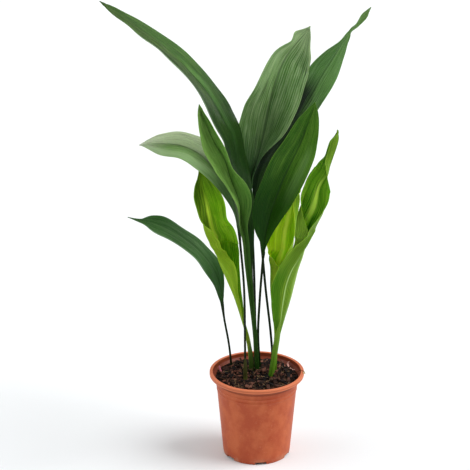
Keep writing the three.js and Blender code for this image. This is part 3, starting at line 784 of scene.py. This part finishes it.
def fill_stations(stations):
    """Close rows between the stations, and how far each lies along the CAD frame's own rows."""
    stations = np.array([row + (0,) * (STATION_COLUMNS - len(row)) for row in stations], float)
    rows = []
    along = []
    passed = 0
    for before, start, end, after in spans(stations):
        count = max(FEWEST_ROWS, round(np.linalg.norm(end[:3] - start[:3]) / ROW_PITCH))
        cad_steps = CAD_STALK_STEPS if end[3] <= STALK_END_WIDTH else CAD_BLADE_STEPS
        start_slope = gentle_slope(before, start, end)
        end_slope = gentle_slope(start, end, after)
        for t in np.arange(count) / count:
            place = smooth_path(before, start, end, after, t)
            shape = hermite(start, end, start_slope, end_slope, t)
            rows.append(np.concatenate([place[:3], shape[3:]]))
            along.append(passed + t * cad_steps)
        passed += cad_steps
    rows.append(stations[-1])
    along.append(passed)
    return np.array(rows), np.array(along) / passed


def blade_frames(rows):
    """Right and front directions of the blade at each row, after its turn about the midrib."""
    index = np.arange(len(rows))
    ahead = rows[np.minimum(index + 1, len(rows) - 1), :3]
    behind = rows[np.maximum(index - 1, 0), :3]
    forwards = unit(ahead - behind)
    level = unit(np.cross(forwards, (0, -1, 0)))
    turn = -np.radians(rows[:, 4:5])
    right = level * np.cos(turn) + np.cross(forwards, level) * np.sin(turn)
    return right[:, None], np.cross(right, forwards)[:, None]


def from_midrib(slope):
    """The running sum of a slope from the middle column out to both margins."""
    middle = slope.shape[1] // 2
    between = (slope[:, 1:] + slope[:, :-1]) / 2 / middle
    rightward = np.cumsum(between[:, middle:], axis=1)
    leftward = -np.cumsum(between[:, :middle][:, ::-1], axis=1)[:, ::-1]
    return np.hstack([leftward, np.zeros((len(slope), 1)), rightward])


def blade_curve(rows, across, crease):
    """Where the bent blade lies right of its midrib and in front of it, and its angle there."""
    reach = np.abs(across)
    wrap = np.where(across < 0, rows[:, 7:8], rows[:, 8:9])
    angle = np.radians(rows[:, 5:6] * crease + rows[:, 6:7] * reach
                       + wrap * smooth_step(reach, WRAP_FROM, WRAP_TO))
    width = rows[:, 3:4]
    return from_midrib(np.cos(angle)) * width, from_midrib(np.sin(angle)) * np.sign(across) * width, angle


def swell(across, length, seed):
    """Soft uneven lengthwise waves of a living blade, between about -1 and 1."""
    draw = np.random.default_rng(seed)
    total = np.zeros(np.broadcast(across, length).shape)
    for _ in range(SWELL_WAVES):
        waves_across = draw.uniform(-SWELL_ACROSS, SWELL_ACROSS)
        waves_along = draw.uniform(*SWELL_ALONG)
        phase = draw.uniform(0, 2 * math.pi)
        total += np.sin(2 * math.pi * (across * waves_across + length * MM * waves_along) + phase)
    return total / 3


def blade_relief(across, length, width, seed):
    """Fine pleats and soft swells, which fade out at the midrib and towards the stalk."""
    reach = np.abs(across)
    pleats = PLEAT_HEIGHT * np.sin(reach * PLEAT_COUNT * 2 * math.pi + swell(across, length, seed))
    relief = pleats + SWELL_HEIGHT * swell(across, length, seed + 1)
    fullness = smooth_step(width, BLADE_START_WIDTH, BLADE_START_WIDTH * 3)
    return relief * fullness * smooth_step(reach, 0, 0.2)


def stalk_half(width, columns, face):
    """The half of a round stalk that goes on from one face of the blade, channelled above."""
    turned = math.pi * (np.arange(columns) + 0.5) / columns
    channel = CHANNEL_DEPTH * np.exp(-((turned - math.pi / 2) / CHANNEL_WIDTH) ** 2) if face > 0 else 0
    radius = np.minimum(width, STALK_LIMIT) * (1 - channel)
    return -radius * np.cos(turned), face * radius * np.sin(turned)


def blade_facts(across, length, spread):
    """What the material reads: places across and along the blade, and where the blade is."""
    start = length[np.argmax(spread[:, 0] > 0.5)]
    level = np.zeros((length.size, across.size))
    return {
        "across": across + level,
        "along": np.clip((length - start) / (length[-1] - start), 0, 1) + level,
        "length": length * MM + level,
        "blade": np.maximum.accumulate(spread) + level,
    }


def blade_grids(stations, ripple, seed, stalked=True):
    """Upper and lower grids of points of a leaf or sheath, with what its material reads."""
    rows, along = fill_stations(stations)
    along = along[:, None]
    right, front = blade_frames(rows)
    width = rows[:, 3:4]
    columns = int(np.clip(2 * width.max() / COLUMN_PITCH, FEWEST_COLUMNS, MOST_COLUMNS)) // 2 * 2 + 1
    across = np.linspace(-1, 1, columns)[None, :]
    reach = np.abs(across)
    length = np.cumsum([0, *np.linalg.norm(np.diff(rows[:, :3], axis=0), axis=1)])[:, None]
    spread = smooth_step(width, STALK_END_WIDTH, BLADE_START_WIDTH) if stalked else np.ones_like(width)
    crease = smooth_step(reach, 0, CREASE_SHARE) if stalked else 1.0
    out, lift, angle = blade_curve(rows, across, crease)
    phase = np.where(across > 0, 0, RIPPLE_LEAD)
    lift = lift + ripple * spread * np.sin(along * RIPPLE_RATE + phase) * reach ** 2
    relief = blade_relief(across, length, width, seed)
    edge = BLADE_THICKNESS / 2 * (1 - MARGIN_THINNING * reach ** 6)
    rib = MIDRIB_HEIGHT * spread * (1 - along) * np.exp(-(reach * width / MIDRIB_WIDTH) ** 2)
    groove = GROOVE_DEPTH * spread * np.exp(-(reach * width / GROOVE_WIDTH) ** 2)
    grids = []
    for face, height in ((1, edge - groove), (-1, edge + rib)):
        offset = face * height + relief
        sideways = out - np.sign(across) * np.sin(angle) * offset
        forwards = lift + np.cos(angle) * offset
        if stalked:
            stalk_side, stalk_front = stalk_half(width, columns, face)
            sideways = stalk_side * (1 - spread) + sideways * spread
            forwards = stalk_front * (1 - spread) + forwards * spread
        grids.append(rows[:, None, :3] + right * sideways[..., None] + front * forwards[..., None])
    return grids, blade_facts(across, length, spread)


def sheet_faces(rows, columns):
    """Quads of a closed sheet between an upper grid of points and a lower one."""
    upper = np.arange(rows * columns).reshape(rows, columns)
    lower = upper + rows * columns
    quads = [
        (upper[:-1, :-1], upper[:-1, 1:], upper[1:, 1:], upper[1:, :-1]),
        (lower[:-1, :-1], lower[1:, :-1], lower[1:, 1:], lower[:-1, 1:]),
        (upper[:-1, 0], upper[1:, 0], lower[1:, 0], lower[:-1, 0]),
        (upper[:-1, -1], lower[:-1, -1], lower[1:, -1], upper[1:, -1]),
        (upper[0, :-1], lower[0, :-1], lower[0, 1:], upper[0, 1:]),
        (upper[-1, :-1], upper[-1, 1:], lower[-1, 1:], lower[-1, :-1]),
    ]
    return np.concatenate([np.stack(corners, -1).reshape(-1, 4) for corners in quads]).tolist()


def sheet_object(name, grids, facts, material):
    rows, columns = grids[0].shape[:2]
    points = np.concatenate([grid.reshape(-1, 3) for grid in grids])
    both = {fact: np.tile(values.ravel(), 2) for fact, values in facts.items()}
    both["under"] = np.repeat([0.0, 1.0], rows * columns)
    return mesh_object(name, points, sheet_faces(rows, columns), material, both)


def make_leaves():
    for seed, (name, stations) in enumerate(LEAVES.items()):
        look = {**COMMON_LOOK, **LEAF_LOOKS[name]}
        grids, facts = blade_grids(stations, RIPPLES[name], seed * LEAF_SEED_STEP)
        green = leaf_material(f"{name}_green", look, seed * STREAK_SEED_STEP)
        hand_over(sheet_object(f"{name}_blade", grids, facts, green), look["slot"], f"leaf_{name}")


def make_sheaths():
    for seed, (name, stations) in enumerate(SHEATHS.items()):
        look = SHEATH_LOOKS[name]
        grids, facts = blade_grids(stations, 0, SHEATH_SEED + seed, stalked=False)
        scale = sheath_material(f"{name}_scale", look)
        hand_over(sheet_object(f"{name}_sheath", grids, facts, scale), look["slot"], f"sheath_{name}")


# Pot

def wall_radius(height):
    """The outer radius of the pot's wall below the neck."""
    return BASE_RADIUS + (NECK_RADIUS - BASE_RADIUS) * height / NECK_HEIGHT


def rounded(corners):
    """A profile through corners of radius, height and fillet, with an arc at each fillet."""
    profile = []
    for index, (radius, height, fillet) in enumerate(corners):
        corner = Vector((radius, height))
        if fillet == 0:
            profile.append(corner)
            continue
        back = (Vector(corners[index - 1][:2]) - corner).normalized()
        ahead = (Vector(corners[index + 1][:2]) - corner).normalized()
        half = back.angle(ahead) / 2
        reach = fillet / math.tan(half)
        centre = corner + (back + ahead).normalized() * (fillet / math.sin(half))
        start = corner + back * reach - centre
        sweep = start.angle_signed(corner + ahead * reach - centre)
        for step in range(ARC_STEPS + 1):
            turned = start.copy()
            turned.rotate(Matrix.Rotation(-sweep * step / ARC_STEPS, 2))
            profile.append(centre + turned)
    return profile


def wall_corners(low, high, count):
    """Plain corners that divide a stretch of wall, so that its unevenness has points to move."""
    heights = [low + (high - low) * (step + 1) / (count + 1) for step in range(count)]
    return [(wall_radius(height), height, 0) for height in heights]


def pot_corners():
    """The pot's profile from the middle of its underside, up its outside and down its inside."""
    corners = [
        (0, UNDERSIDE_RISE, 0),
        (UNDERSIDE_RADIUS, UNDERSIDE_RISE, 0),
        (UNDERSIDE_RADIUS + 1.5, 0, 0.5),
        (BASE_RADIUS - 0.3, 0, 1.4),
        *wall_corners(2, SHOULDER_HEIGHTS[0] - 2, 40),
    ]
    for height in SHOULDER_HEIGHTS:
        corners += [
            (wall_radius(height - 1), height - 1, 0),
            (wall_radius(height) + SHOULDER_STEP, height - 0.1, 0.3),
            (wall_radius(height) + SHOULDER_STEP, height + 0.6, 0.3),
            (wall_radius(height + 1.4), height + 1.4, 0),
        ]
    corners += [
        *wall_corners(SHOULDER_HEIGHTS[1] + 2, NECK_HEIGHT - 1, 3),
        (NECK_RADIUS, NECK_HEIGHT, 1.5),
        (RIM_INNER_RADIUS + WALL, LIP_HEIGHT, 0.8),
        (RIM_RADIUS, LIP_HEIGHT, 1.1),
        (RIM_RADIUS, POT_HEIGHT, 1.2),
        (RIM_RADIUS - OUTER_LAND, POT_HEIGHT, 0.2),
        (RIM_RADIUS - OUTER_LAND - GROOVE_SLOPE, POT_HEIGHT - LIP_GROOVE, 0.2),
        (RIM_INNER_RADIUS + INNER_LAND + GROOVE_SLOPE, POT_HEIGHT - LIP_GROOVE, 0.2),
        (RIM_INNER_RADIUS + INNER_LAND, POT_HEIGHT, 0.2),
        (RIM_INNER_RADIUS, POT_HEIGHT, 0.8),
        (RIM_INNER_RADIUS, LIP_HEIGHT, 0.8),
        (NECK_RADIUS - WALL, NECK_HEIGHT, 0.8),
    ]
    corners += [(wall_radius(height) - WALL, height, 0) for height in (100, 60, 20)]
    return corners + [(wall_radius(FLOOR) - WALL, FLOOR, 0.9), (20, FLOOR, 0), (0, FLOOR, 0)]


def wall_unevenness(height, angle):
    """Faint broad flutes and dents of a thin moulded wall."""
    if not NOTCH_HEIGHT < height < SHOULDER_HEIGHTS[0] - 3:
        return 0
    round_place = Vector((math.cos(angle), math.sin(angle), 0)) * FLUTE_RATE_ROUND
    place = round_place + Vector((0, 0, height * FLUTE_RATE_UP))
    return FLUTE_DEPTH * noise.noise(place) + DENT_DEPTH * noise.noise(place * DENT_RATE)


def pot_ring(corner):
    """The profile's corner turned about the upright axis."""
    moves = [wall_unevenness(corner.y, angle) for angle in side_angles(POT_SIDES)]
    return circle(corner.x + np.array(moves), corner.y, POT_SIDES)


def pot_material():
    """Matte terracotta-coloured plastic, blotched, dusty at the edges and a little scuffed, with painted
    shade and highlights at the rim.
    """
    surface = Surface("terracotta_plastic")
    place = surface.place()
    x, y, z = surface.add("ShaderNodeSeparateXYZ", {0: place}).outputs
    blotches = surface.noise(surface.join(x, y, surface.times(z, 0.8)), 40, 4, 0.6)
    fine = surface.noise(place, 260, 3, 0.6)
    flecks = surface.noise(place, 900, 2, 0.5)
    colour = surface.layers("#b04a24", [
        ("#c4643a", blotches, 0.35, 0.7, 1),
        ("#cf8a68", fine, 0.58, 0.8, 0.35),
        ("#8f4326", fine, 0.42, 0.25, 0.3),
        ("#e0b096", flecks, 0.72, 0.8, 0.35),
    ])
    height = surface.times(z, 1 / MM)
    squares = surface.plus(surface.times(x, x), surface.times(y, y))
    radius = surface.times(surface.math("SQRT", squares), 1 / MM)
    # The lip's outside and top, where a painted highlight and a painted shade line go
    lip = surface.ramp(radius, RIM_INNER_RADIUS + 0.4, RIM_INNER_RADIUS + 0.8)
    lip = surface.times(lip, surface.ramp(height, LIP_HEIGHT + 0.2, LIP_HEIGHT + 0.8))
    from_line = surface.distance(height, LIP_HEIGHT + 2.9)
    for tint, share, limit in (
        # Painted shade on the inside wall under the rim
        ("#7a3316", surface.ramp(radius, RIM_INNER_RADIUS + 0.3, RIM_INNER_RADIUS - 0.1, 0, 0.75),
         surface.ramp(height, NECK_HEIGHT - 3, NECK_HEIGHT - 1)),
        # Painted shadow on the wall just under the lip
        ("#7c2c10", surface.ramp(height, LIP_HEIGHT - 4.2, LIP_HEIGHT - 0.2, 0, 0.7),
         surface.ramp(height, LIP_HEIGHT + 0.4, LIP_HEIGHT)),
        # Painted highlight over the lip's outside and top
        ("#dc8058", 0.7, lip),
        # Painted shade: a darker line round the middle of the lip's front, between its lit edges
        ("#a8502c", surface.ramp(from_line, 1, 0.4, 0, 0.6), lip),
        ("#b98d74", surface.ramp(height, 12, 0, 0, 0.5), surface.ramp(blotches, 0.4, 0.6)),
    ):
        colour = surface.mix(colour, tint, surface.times(share, limit))
    roughness = surface.ramp(blotches, 0.3, 0.7, 0.46, 0.6)
    surface.set(Base_Color=colour, Roughness=roughness, Specular_IOR_Level=0.3)
    surface.bump(surface.plus(surface.times(fine, 0.5), surface.times(flecks, 0.2)), 0.0004, 0.35)
    return surface.material


def drain_tree(material):
    """Cuts drain notches, spread evenly round the foot, out of the pot."""
    tree = ShapeTree("drain notches", {
        "Count": NOTCH_COUNT,
        "Foot Radius": BASE_RADIUS * MM,
        "Depth": NOTCH_DEPTH * MM,
        "Width": NOTCH_WIDTH * MM,
        "Height": NOTCH_HEIGHT * MM,
        "First Angle": math.radians(FRONT_NOTCH_ANGLE),
    })
    given = tree.given
    size = tree.join(tree.times(given["Depth"], 2.0), given["Width"], tree.times(given["Height"], 2.0))
    block = tree.out("GeometryNodeMeshCube", {"Size": size})
    foot = tree.out("GeometryNodeMeshCircle", {"Vertices": given["Count"], "Radius": given["Foot Radius"]})
    first = tree.join(z=given["First Angle"])
    spots = tree.out("GeometryNodeTransform", {"Geometry": foot, "Rotation": first})
    outwards = tree.out("GeometryNodeInputPosition")
    turned = tree.out("FunctionNodeAlignRotationToVector", {"Vector": outwards}, axis="X", pivot_axis="Z")
    inputs = {"Points": spots, "Instance": block, "Rotation": turned}
    blocks = tree.out("GeometryNodeRealizeInstances", {0: tree.out("GeometryNodeInstanceOnPoints", inputs)})
    inputs = {"Mesh 1": given["Geometry"], "Mesh 2": blocks}
    cut = tree.out("GeometryNodeMeshBoolean", inputs, operation="DIFFERENCE", solver="MANIFOLD")
    tree.finish(cut, material)
    return tree


def make_pot():
    plastic = pot_material()
    profile = rounded(pot_corners())[::-1]
    rings = [pot_ring(corner) for corner in profile[1:-1]]
    points, faces = round_body((0, 0, profile[0].y), rings, (0, 0, profile[-1].y))
    # A quad that starts at its lower corner is divided there where the notches cut it
    faces = [face[1:] + face[:1] for face in faces]
    pot = mesh_object("nursery_pot", points, faces, plastic)
    drain_tree(plastic).run(pot)
    pot.data.set_sharp_from_angle(angle=math.radians(40))
    hand_over(pot, "pot_plastic", "pot")


# Soil

BARK_TONES = ("#0c0706", "#170d09", "#27160f", "#40261c", "#744a3a")
REDDISH_TONES = ("#3a2018", "#6a3a2a", "#9a6250")
FIBRE_TONES = ("#4a3424", "#8a6a4a", "#c8a878")

# What is scattered over the soil: its kind, its tones from dark to pale, and its tree's inputs in
# metres, radians and pieces per square metre
SCATTERED = {
    "bark_chips_large": ("chips", BARK_TONES, {
        "Density": 12000.0, "Seed": 11, "Length": 0.0135, "Width": 0.0045, "Thickness": 0.0018,
        "Tilt": 0.6, "Bend": 0.0014, "Rise": 0.0018}),
    "bark_chips_small": ("chips", BARK_TONES, {
        "Density": 34000.0, "Seed": 12, "Length": 0.0065, "Width": 0.0024, "Thickness": 0.001,
        "Tilt": 0.8, "Bend": 0.0008, "Rise": 0.0011}),
    "reddish_chips": ("chips", REDDISH_TONES, {
        "Density": 3500.0, "Seed": 13, "Length": 0.006, "Width": 0.003, "Thickness": 0.001,
        "Tilt": 0.5, "Bend": 0.0008, "Rise": 0.0018}),
    "peat_crumbs": ("crumbs", BARK_TONES, {
        "Density": 130000.0, "Seed": 14, "Length": 0.0022, "Width": 0.0018, "Thickness": 0.0015,
        "Tilt": 1.5, "Bend": 0.0004, "Rise": 0.0005}),
    "root_fibres": ("fibres", FIBRE_TONES, {
        "Density": 11000.0, "Seed": 15, "Length": 0.015, "Radius": 0.0002, "Bend": 0.008, "Rise": 0.0022}),
}

# Single scraps by the rim: a path, a width, a thickness, and tones from dark to pale
SCRAP_STEPS = 8
SCRAP_SIDES = 12
SCRAP_TAPER = 0.96
SCRAPS = {
    "curled_bark": (
        [(49, 35.5, 130), (46.5, 35, 126.5), (48, 29.5, 123.8), (52.5, 21.5, 123), (57, 16, 125)],
        3.0, 1.1, ("#8c5850", "#c49084", "#e0b8ac")),
    "pink_bark": (
        [(-55.5, 22, 129), (-54.5, 18, 125), (-51, 11, 121.5), (-47, 6, 120.2)],
        3.0, 1.2, ("#6c2c3a", "#b0606c", "#e0b0a8")),
    "leaning_root": (
        [(56, 5, 123), (61, 2.5, 128.5), (65, 0, 132), (68, -2.8, 132.1), (70.4, -4.8, 131.2),
         (71.3, -6, 128)],
        1.0, 0.9, ("#3c1e0c", "#6a3c1c", "#8c5c30")),
    "pale_scrap": (
        [(68.4, -6.6, 131.9), (69.6, -8.4, 131.6), (70, -10.4, 131.1)],
        1.9, 0.7, ("#a8823c", "#e0c890", "#f4e8cc")),
}


def soil_height(x, y):
    """Height of the open soil surface, as in the CAD frame: heaped a little round the stalks."""
    from_heap = math.hypot(x - HEAP_CENTRE[0], y - HEAP_CENTRE[1]) / HEAP_RADIUS
    lumps = math.sin(x * 0.31 + 1.3) * math.cos(y * 0.37) + math.sin(x * 0.83 - y * 0.61 + 2)
    return SOIL_LEVEL + HEAP_HEIGHT * math.exp(-from_heap ** 2) + SOIL_ROUGHNESS * lumps


def soil_edge():
    """The radius at which the soil meets the pot's flared wall."""
    share = (SOIL_LEVEL - NECK_HEIGHT) / (LIP_HEIGHT - NECK_HEIGHT)
    return NECK_RADIUS - WALL + (RIM_INNER_RADIUS - NECK_RADIUS + WALL) * share - GAP * 2


def crumbled(x, y):
    """Lumps and pits of loose bark, in millimetres above or below the surface."""
    place = Vector((x, y, 0))
    lumps = sum(abs(noise.noise(place * scale)) * height for scale, height in LUMPS)
    return lumps + noise.noise(place * GRIT[0]) * GRIT[1] - PIT_DEPTH


def soil_ring(share):
    """A ring of the soil's top, at a share of the way from its middle to its calmer edge."""
    points = circle(soil_edge() * share, SOIL_LEVEL, SOIL_SIDES)
    for point in points:
        x, y, level = point
        point[2] = soil_height(x, y) + crumbled(x, y) if share < 1 else level + crumbled(x, y) * EDGE_CALM
    return points


def make_soil_bed():
    """The closed body of soil; the points and faces of its free top are kept for scattering."""
    rings = [soil_ring(ring / SOIL_RINGS) for ring in range(1, SOIL_RINGS + 1)]
    rings.append(circle(NECK_RADIUS - WALL - GAP, NECK_HEIGHT + GAP, SOIL_SIDES))
    rings.append(circle(wall_radius(FLOOR) - WALL - GAP, FLOOR + GAP, SOIL_SIDES))
    middle = (0, 0, soil_height(0, 0) + crumbled(0, 0))
    points, faces = round_body(middle, rings, (0, 0, FLOOR + GAP))
    hand_over(mesh_object("potting_mix", points, faces, soil_material(), sharp=180), "bark_soil", "soil")
    top_count = SOIL_RINGS * SOIL_SIDES
    return points[:1 + top_count], faces[:top_count]


def stalk_feet():
    """Where each stalk comes out of the soil."""
    feet = []
    for stations in LEAVES.values():
        rows, _ = fill_stations(stations)
        feet.append(rows[np.argmax(rows[:, 2] > SOIL_LEVEL + 2), :2])
    return feet


def tone_material(name, tones):
    """Bark or peat whose tone attribute, from 0 to 1, picks its colour from the tones."""
    surface = Surface(name)
    place = surface.place()
    mottle = surface.math("SUBTRACT", surface.noise(place, 500, 3, 0.6), 0.5)
    shifted = surface.plus(surface.attribute("tone"), surface.times(mottle, 0.5))
    colour = surface.layers(tones[0], [
        (tone, shifted, (step + 0.3) / (len(tones) - 1), (step + 0.9) / (len(tones) - 1), 1)
        for step, tone in enumerate(tones[1:])
    ])
    surface.set(Base_Color=colour, Roughness=0.85, Specular_IOR_Level=0.25)
    surface.bump(surface.noise(place, 1200, 3, 0.6), 0.0006, 0.7)
    return surface.material


def soil_material():
    """Dark peat between the pieces of bark, lighter on its crumbs."""
    surface = Surface("peat")
    place = surface.place()
    lumps = surface.noise(place, 160, 4, 0.65)
    crumbs = surface.out("ShaderNodeTexVoronoi", {"Vector": place, "Scale": 420})
    tints = [("#3a261c", lumps, 0.42, 0.7, 1), ("#5f4030", crumbs, 0.45, 0.7, 0.4)]
    colour = surface.layers("#120b08", tints)
    surface.set(Base_Color=colour, Roughness=0.9, Specular_IOR_Level=0.2)
    surface.bump(surface.plus(crumbs, lumps), 0.0012, 0.8)
    return surface.material


def random_vector(tree, low, high, seed):
    inputs = {"Min": low, "Max": high, "Seed": seed}
    return tree.out("FunctionNodeRandomValue", inputs, data_type="FLOAT_VECTOR")


def scattered(tree, shape, turn, scale, seed):
    """Copies of a shape over the open part of a surface, each with its own turn, scale and tone."""
    given = tree.given
    open_share = tree.out("GeometryNodeInputNamedAttribute", {"Name": "open"}, data_type="FLOAT")
    density = tree.times(given["Density"], open_share)
    inputs = {"Mesh": given["Geometry"], "Density": density, "Seed": given["Seed"]}
    pieces = tree.out("GeometryNodeInstanceOnPoints", {
        "Points": tree.out("GeometryNodeDistributePointsOnFaces", inputs),
        "Instance": shape,
        "Rotation": random_vector(tree, *turn, seed),
        "Scale": random_vector(tree, *scale, seed + 1),
    })
    tone = tree.add("FunctionNodeRandomValue", {"Seed": seed + 2}, data_type="FLOAT").outputs["Value"]
    inputs = {"Geometry": pieces, "Name": "tone", "Value": tone}
    toned = tree.out("GeometryNodeStoreNamedAttribute", inputs, data_type="FLOAT", domain="INSTANCE")
    return tree.out("GeometryNodeRealizeInstances", {0: toned})


def bent(tree, geometry, scale, detail, share, upright=1):
    """The geometry with its points moved by smooth noise, and lifted by the tree's rise."""
    inputs = {"Scale": scale, "Detail": detail}
    drift = tree.add("ShaderNodeTexNoise", inputs, noise_dimensions="3D").outputs["Color"]
    centred = tree.vector("SUBTRACT", {0: drift, 1: (0.5, 0.5, 0.5)})
    push = tree.vector("SCALE", {0: centred, "Scale": tree.times(tree.given["Bend"], share)})
    push = tree.vector("MULTIPLY", {0: push, 1: (1, 1, upright)})
    offset = tree.vector("ADD", {0: push, 1: tree.join(z=tree.given["Rise"])})
    return tree.out("GeometryNodeSetPosition", {"Geometry": geometry, "Offset": offset})


def chip_tree(kind, values, material):
    """Uneven chips of bark or crumbs of peat, scattered over a surface."""
    tree = ShapeTree(f"scattered {kind}", values)
    given = tree.given
    size = tree.join(given["Length"], given["Width"], given["Thickness"])
    if kind == "crumbs":
        ball = tree.out("GeometryNodeMeshIcoSphere", {"Radius": 0.5, "Subdivisions": 1})
        shape = tree.out("GeometryNodeTransform", {"Geometry": ball, "Scale": size})
    else:
        inputs = {"Size": size, "Vertices X": 5, "Vertices Y": 3, "Vertices Z": 2}
        shape = tree.out("GeometryNodeMeshCube", inputs)
    low = tree.times(given["Tilt"], -1.0)
    turn = (tree.join(low, low, -math.pi), tree.join(given["Tilt"], given["Tilt"], math.pi))
    pieces = scattered(tree, shape, turn, ((0.5, 0.5, 0.6), (1.4, 1.3, 1.4)), 3)
    tree.finish(bent(tree, pieces, 420.0, 2.0, 3.0), material)
    return tree


def fibre_tree(values, material):
    """Thin root fibres and bark hairs that lie in loose bends over the surface."""
    tree = ShapeTree("loose fibres", values)
    half = tree.times(tree.given["Length"], 0.5)
    inputs = {"Start": tree.join(tree.times(half, -1.0)), "End": tree.join(half)}
    line = tree.out("GeometryNodeCurvePrimitiveLine", inputs)
    fine = tree.out("GeometryNodeResampleCurve", {"Curve": line, "Count": 9})
    turn = ((-0.3, -0.3, -math.pi), (0.3, 0.3, math.pi))
    pieces = scattered(tree, fine, turn, ((0.5, 1, 1), (1.4, 1, 1)), 8)
    curves = bent(tree, pieces, 90.0, 1.0, 2.0, 0.35)
    inputs = {"Resolution": 4, "Radius": tree.given["Radius"]}
    section = tree.out("GeometryNodeCurvePrimitiveCircle", inputs)
    inputs = {"Curve": curves, "Profile Curve": section, "Fill Caps": True}
    tree.finish(tree.out("GeometryNodeCurveToMesh", inputs), material)
    return tree


def make_soil():
    top, faces = make_soil_bed()
    stalk_room = np.min([np.hypot(*(top[:, :2] - foot).T) for foot in stalk_feet()], axis=0)
    rim_room = soil_edge() - np.hypot(top[:, 0], top[:, 1])
    for name, (kind, tones, values) in SCATTERED.items():
        bark = tone_material(f"{name}_bark", tones)
        reach = values["Length"] / MM / 2
        open_share = smooth_step(stalk_room, *STALK_ROOM) * smooth_step(rim_room, reach, reach + RIM_FADE)
        piece = mesh_object(name, top, faces, bark, {"open": open_share}, sharp=180)
        tree = fibre_tree(values, bark) if kind == "fibres" else chip_tree(kind, values, bark)
        tree.run(piece)
        hand_over(piece, "bark_soil")


def scrap_mesh(path, width, thickness):
    """A closed strip with an oval section and blunt ends along a smooth path."""
    path = np.array(path, float)
    steps = np.arange(SCRAP_STEPS) / SCRAP_STEPS
    places = np.array([smooth_path(*span, t) for span in spans(path) for t in steps] + [path[-1]])
    forwards = unit(np.gradient(places, axis=0))
    side = unit(np.cross(forwards, (0, 0, 1)))
    up = np.cross(side, forwards)
    share = np.linspace(-1, 1, len(places))
    half = np.sqrt(1 - SCRAP_TAPER * share ** 6)[:, None, None] / 2
    around = side_angles(SCRAP_SIDES)[None, :, None]
    oval = side[:, None] * np.cos(around) * width + up[:, None] * np.sin(around) * thickness
    return round_body(places[0], places[:, None] + half * oval, places[-1])


def make_scraps():
    for name, (path, width, thickness, tones) in SCRAPS.items():
        points, faces = scrap_mesh(path, width, thickness)
        skin = tone_material(f"{name}_skin", tones)
        tone = np.full(len(points), 0.5)
        hand_over(mesh_object(name, points, faces, skin, {"tone": tone}, sharp=180), "bark_soil")


def dress_rhizome():
    """The rhizome stays as it is, and gets a pale scaly skin."""
    surface = Surface("rhizome_skin")
    rings = surface.noise(surface.place(), 240, 4, 0.6)
    colour = surface.layers("#6a5638", [("#a58f62", rings, 0.35, 0.65, 1)])
    surface.set(Base_Color=colour, Roughness=0.75)
    surface.bump(rings, 0.001, 0.6)
    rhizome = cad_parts["rhizome"]
    rhizome.data.materials.clear()
    rhizome.data.materials.append(surface.material)


# Camera, floor and light

def make_camera():
    camera = bpy.data.cameras.new("camera")
    camera.lens = CAMERA_LENS
    view = bpy.data.objects.new("camera", camera)
    view.location = Vector(CAMERA_PLACE) * MM
    view.rotation_euler = (math.radians(90 - CAMERA_PITCH), 0, 0)
    bpy.context.scene.collection.objects.link(view)
    bpy.context.scene.camera = view


def make_floor():
    surface = Surface("pale_floor")
    surface.set(Base_Color=FLOOR_COLOUR, Roughness=0.9, Specular_IOR_Level=0.0)
    half = FLOOR_SIZE / 2
    corners = [(-half, -half, 0), (half, -half, 0), (half, half, 0), (-half, half, 0)]
    mesh_object("floor", corners, [(0, 1, 2, 3)], surface.material)


def soft_sun(name, direction, spread, strength):
    """An even light from one side that is as wide as a large soft box, in degrees."""
    light = bpy.data.lights.new(name, "SUN")
    light.angle = math.radians(spread)
    light.energy = strength
    lamp = bpy.data.objects.new(name, light)
    lamp.location = direction
    lamp.rotation_euler = Vector(direction).to_track_quat("Z", "Y").to_euler()
    bpy.context.scene.collection.objects.link(lamp)


def make_light():
    world = bpy.data.worlds.new("studio")
    bpy.context.scene.world = world
    world.use_nodes = True
    world.node_tree.nodes.clear()
    nodes = Nodes(world.node_tree)
    sky = nodes.add("ShaderNodeTexCoord").outputs["Generated"]
    away = nodes.add("ShaderNodeSeparateXYZ", {0: sky}).outputs["Y"]
    glow = nodes.ramp(away, -0.9, 0.4, WORLD_FRONT, WORLD_BACK)
    light = nodes.out("ShaderNodeBackground", {"Color": (1, 1, 1, 1), "Strength": glow})
    nodes.add("ShaderNodeOutputWorld", {"Surface": light})
    for name, (direction, spread, strength) in SUNS.items():
        soft_sun(name, direction, spread, strength)
    bpy.context.scene.view_settings.view_transform = "Standard"


make_camera()
make_floor()
make_light()
make_pot()
make_soil()
make_scraps()
dress_rhizome()
make_leaves()
make_sheaths()
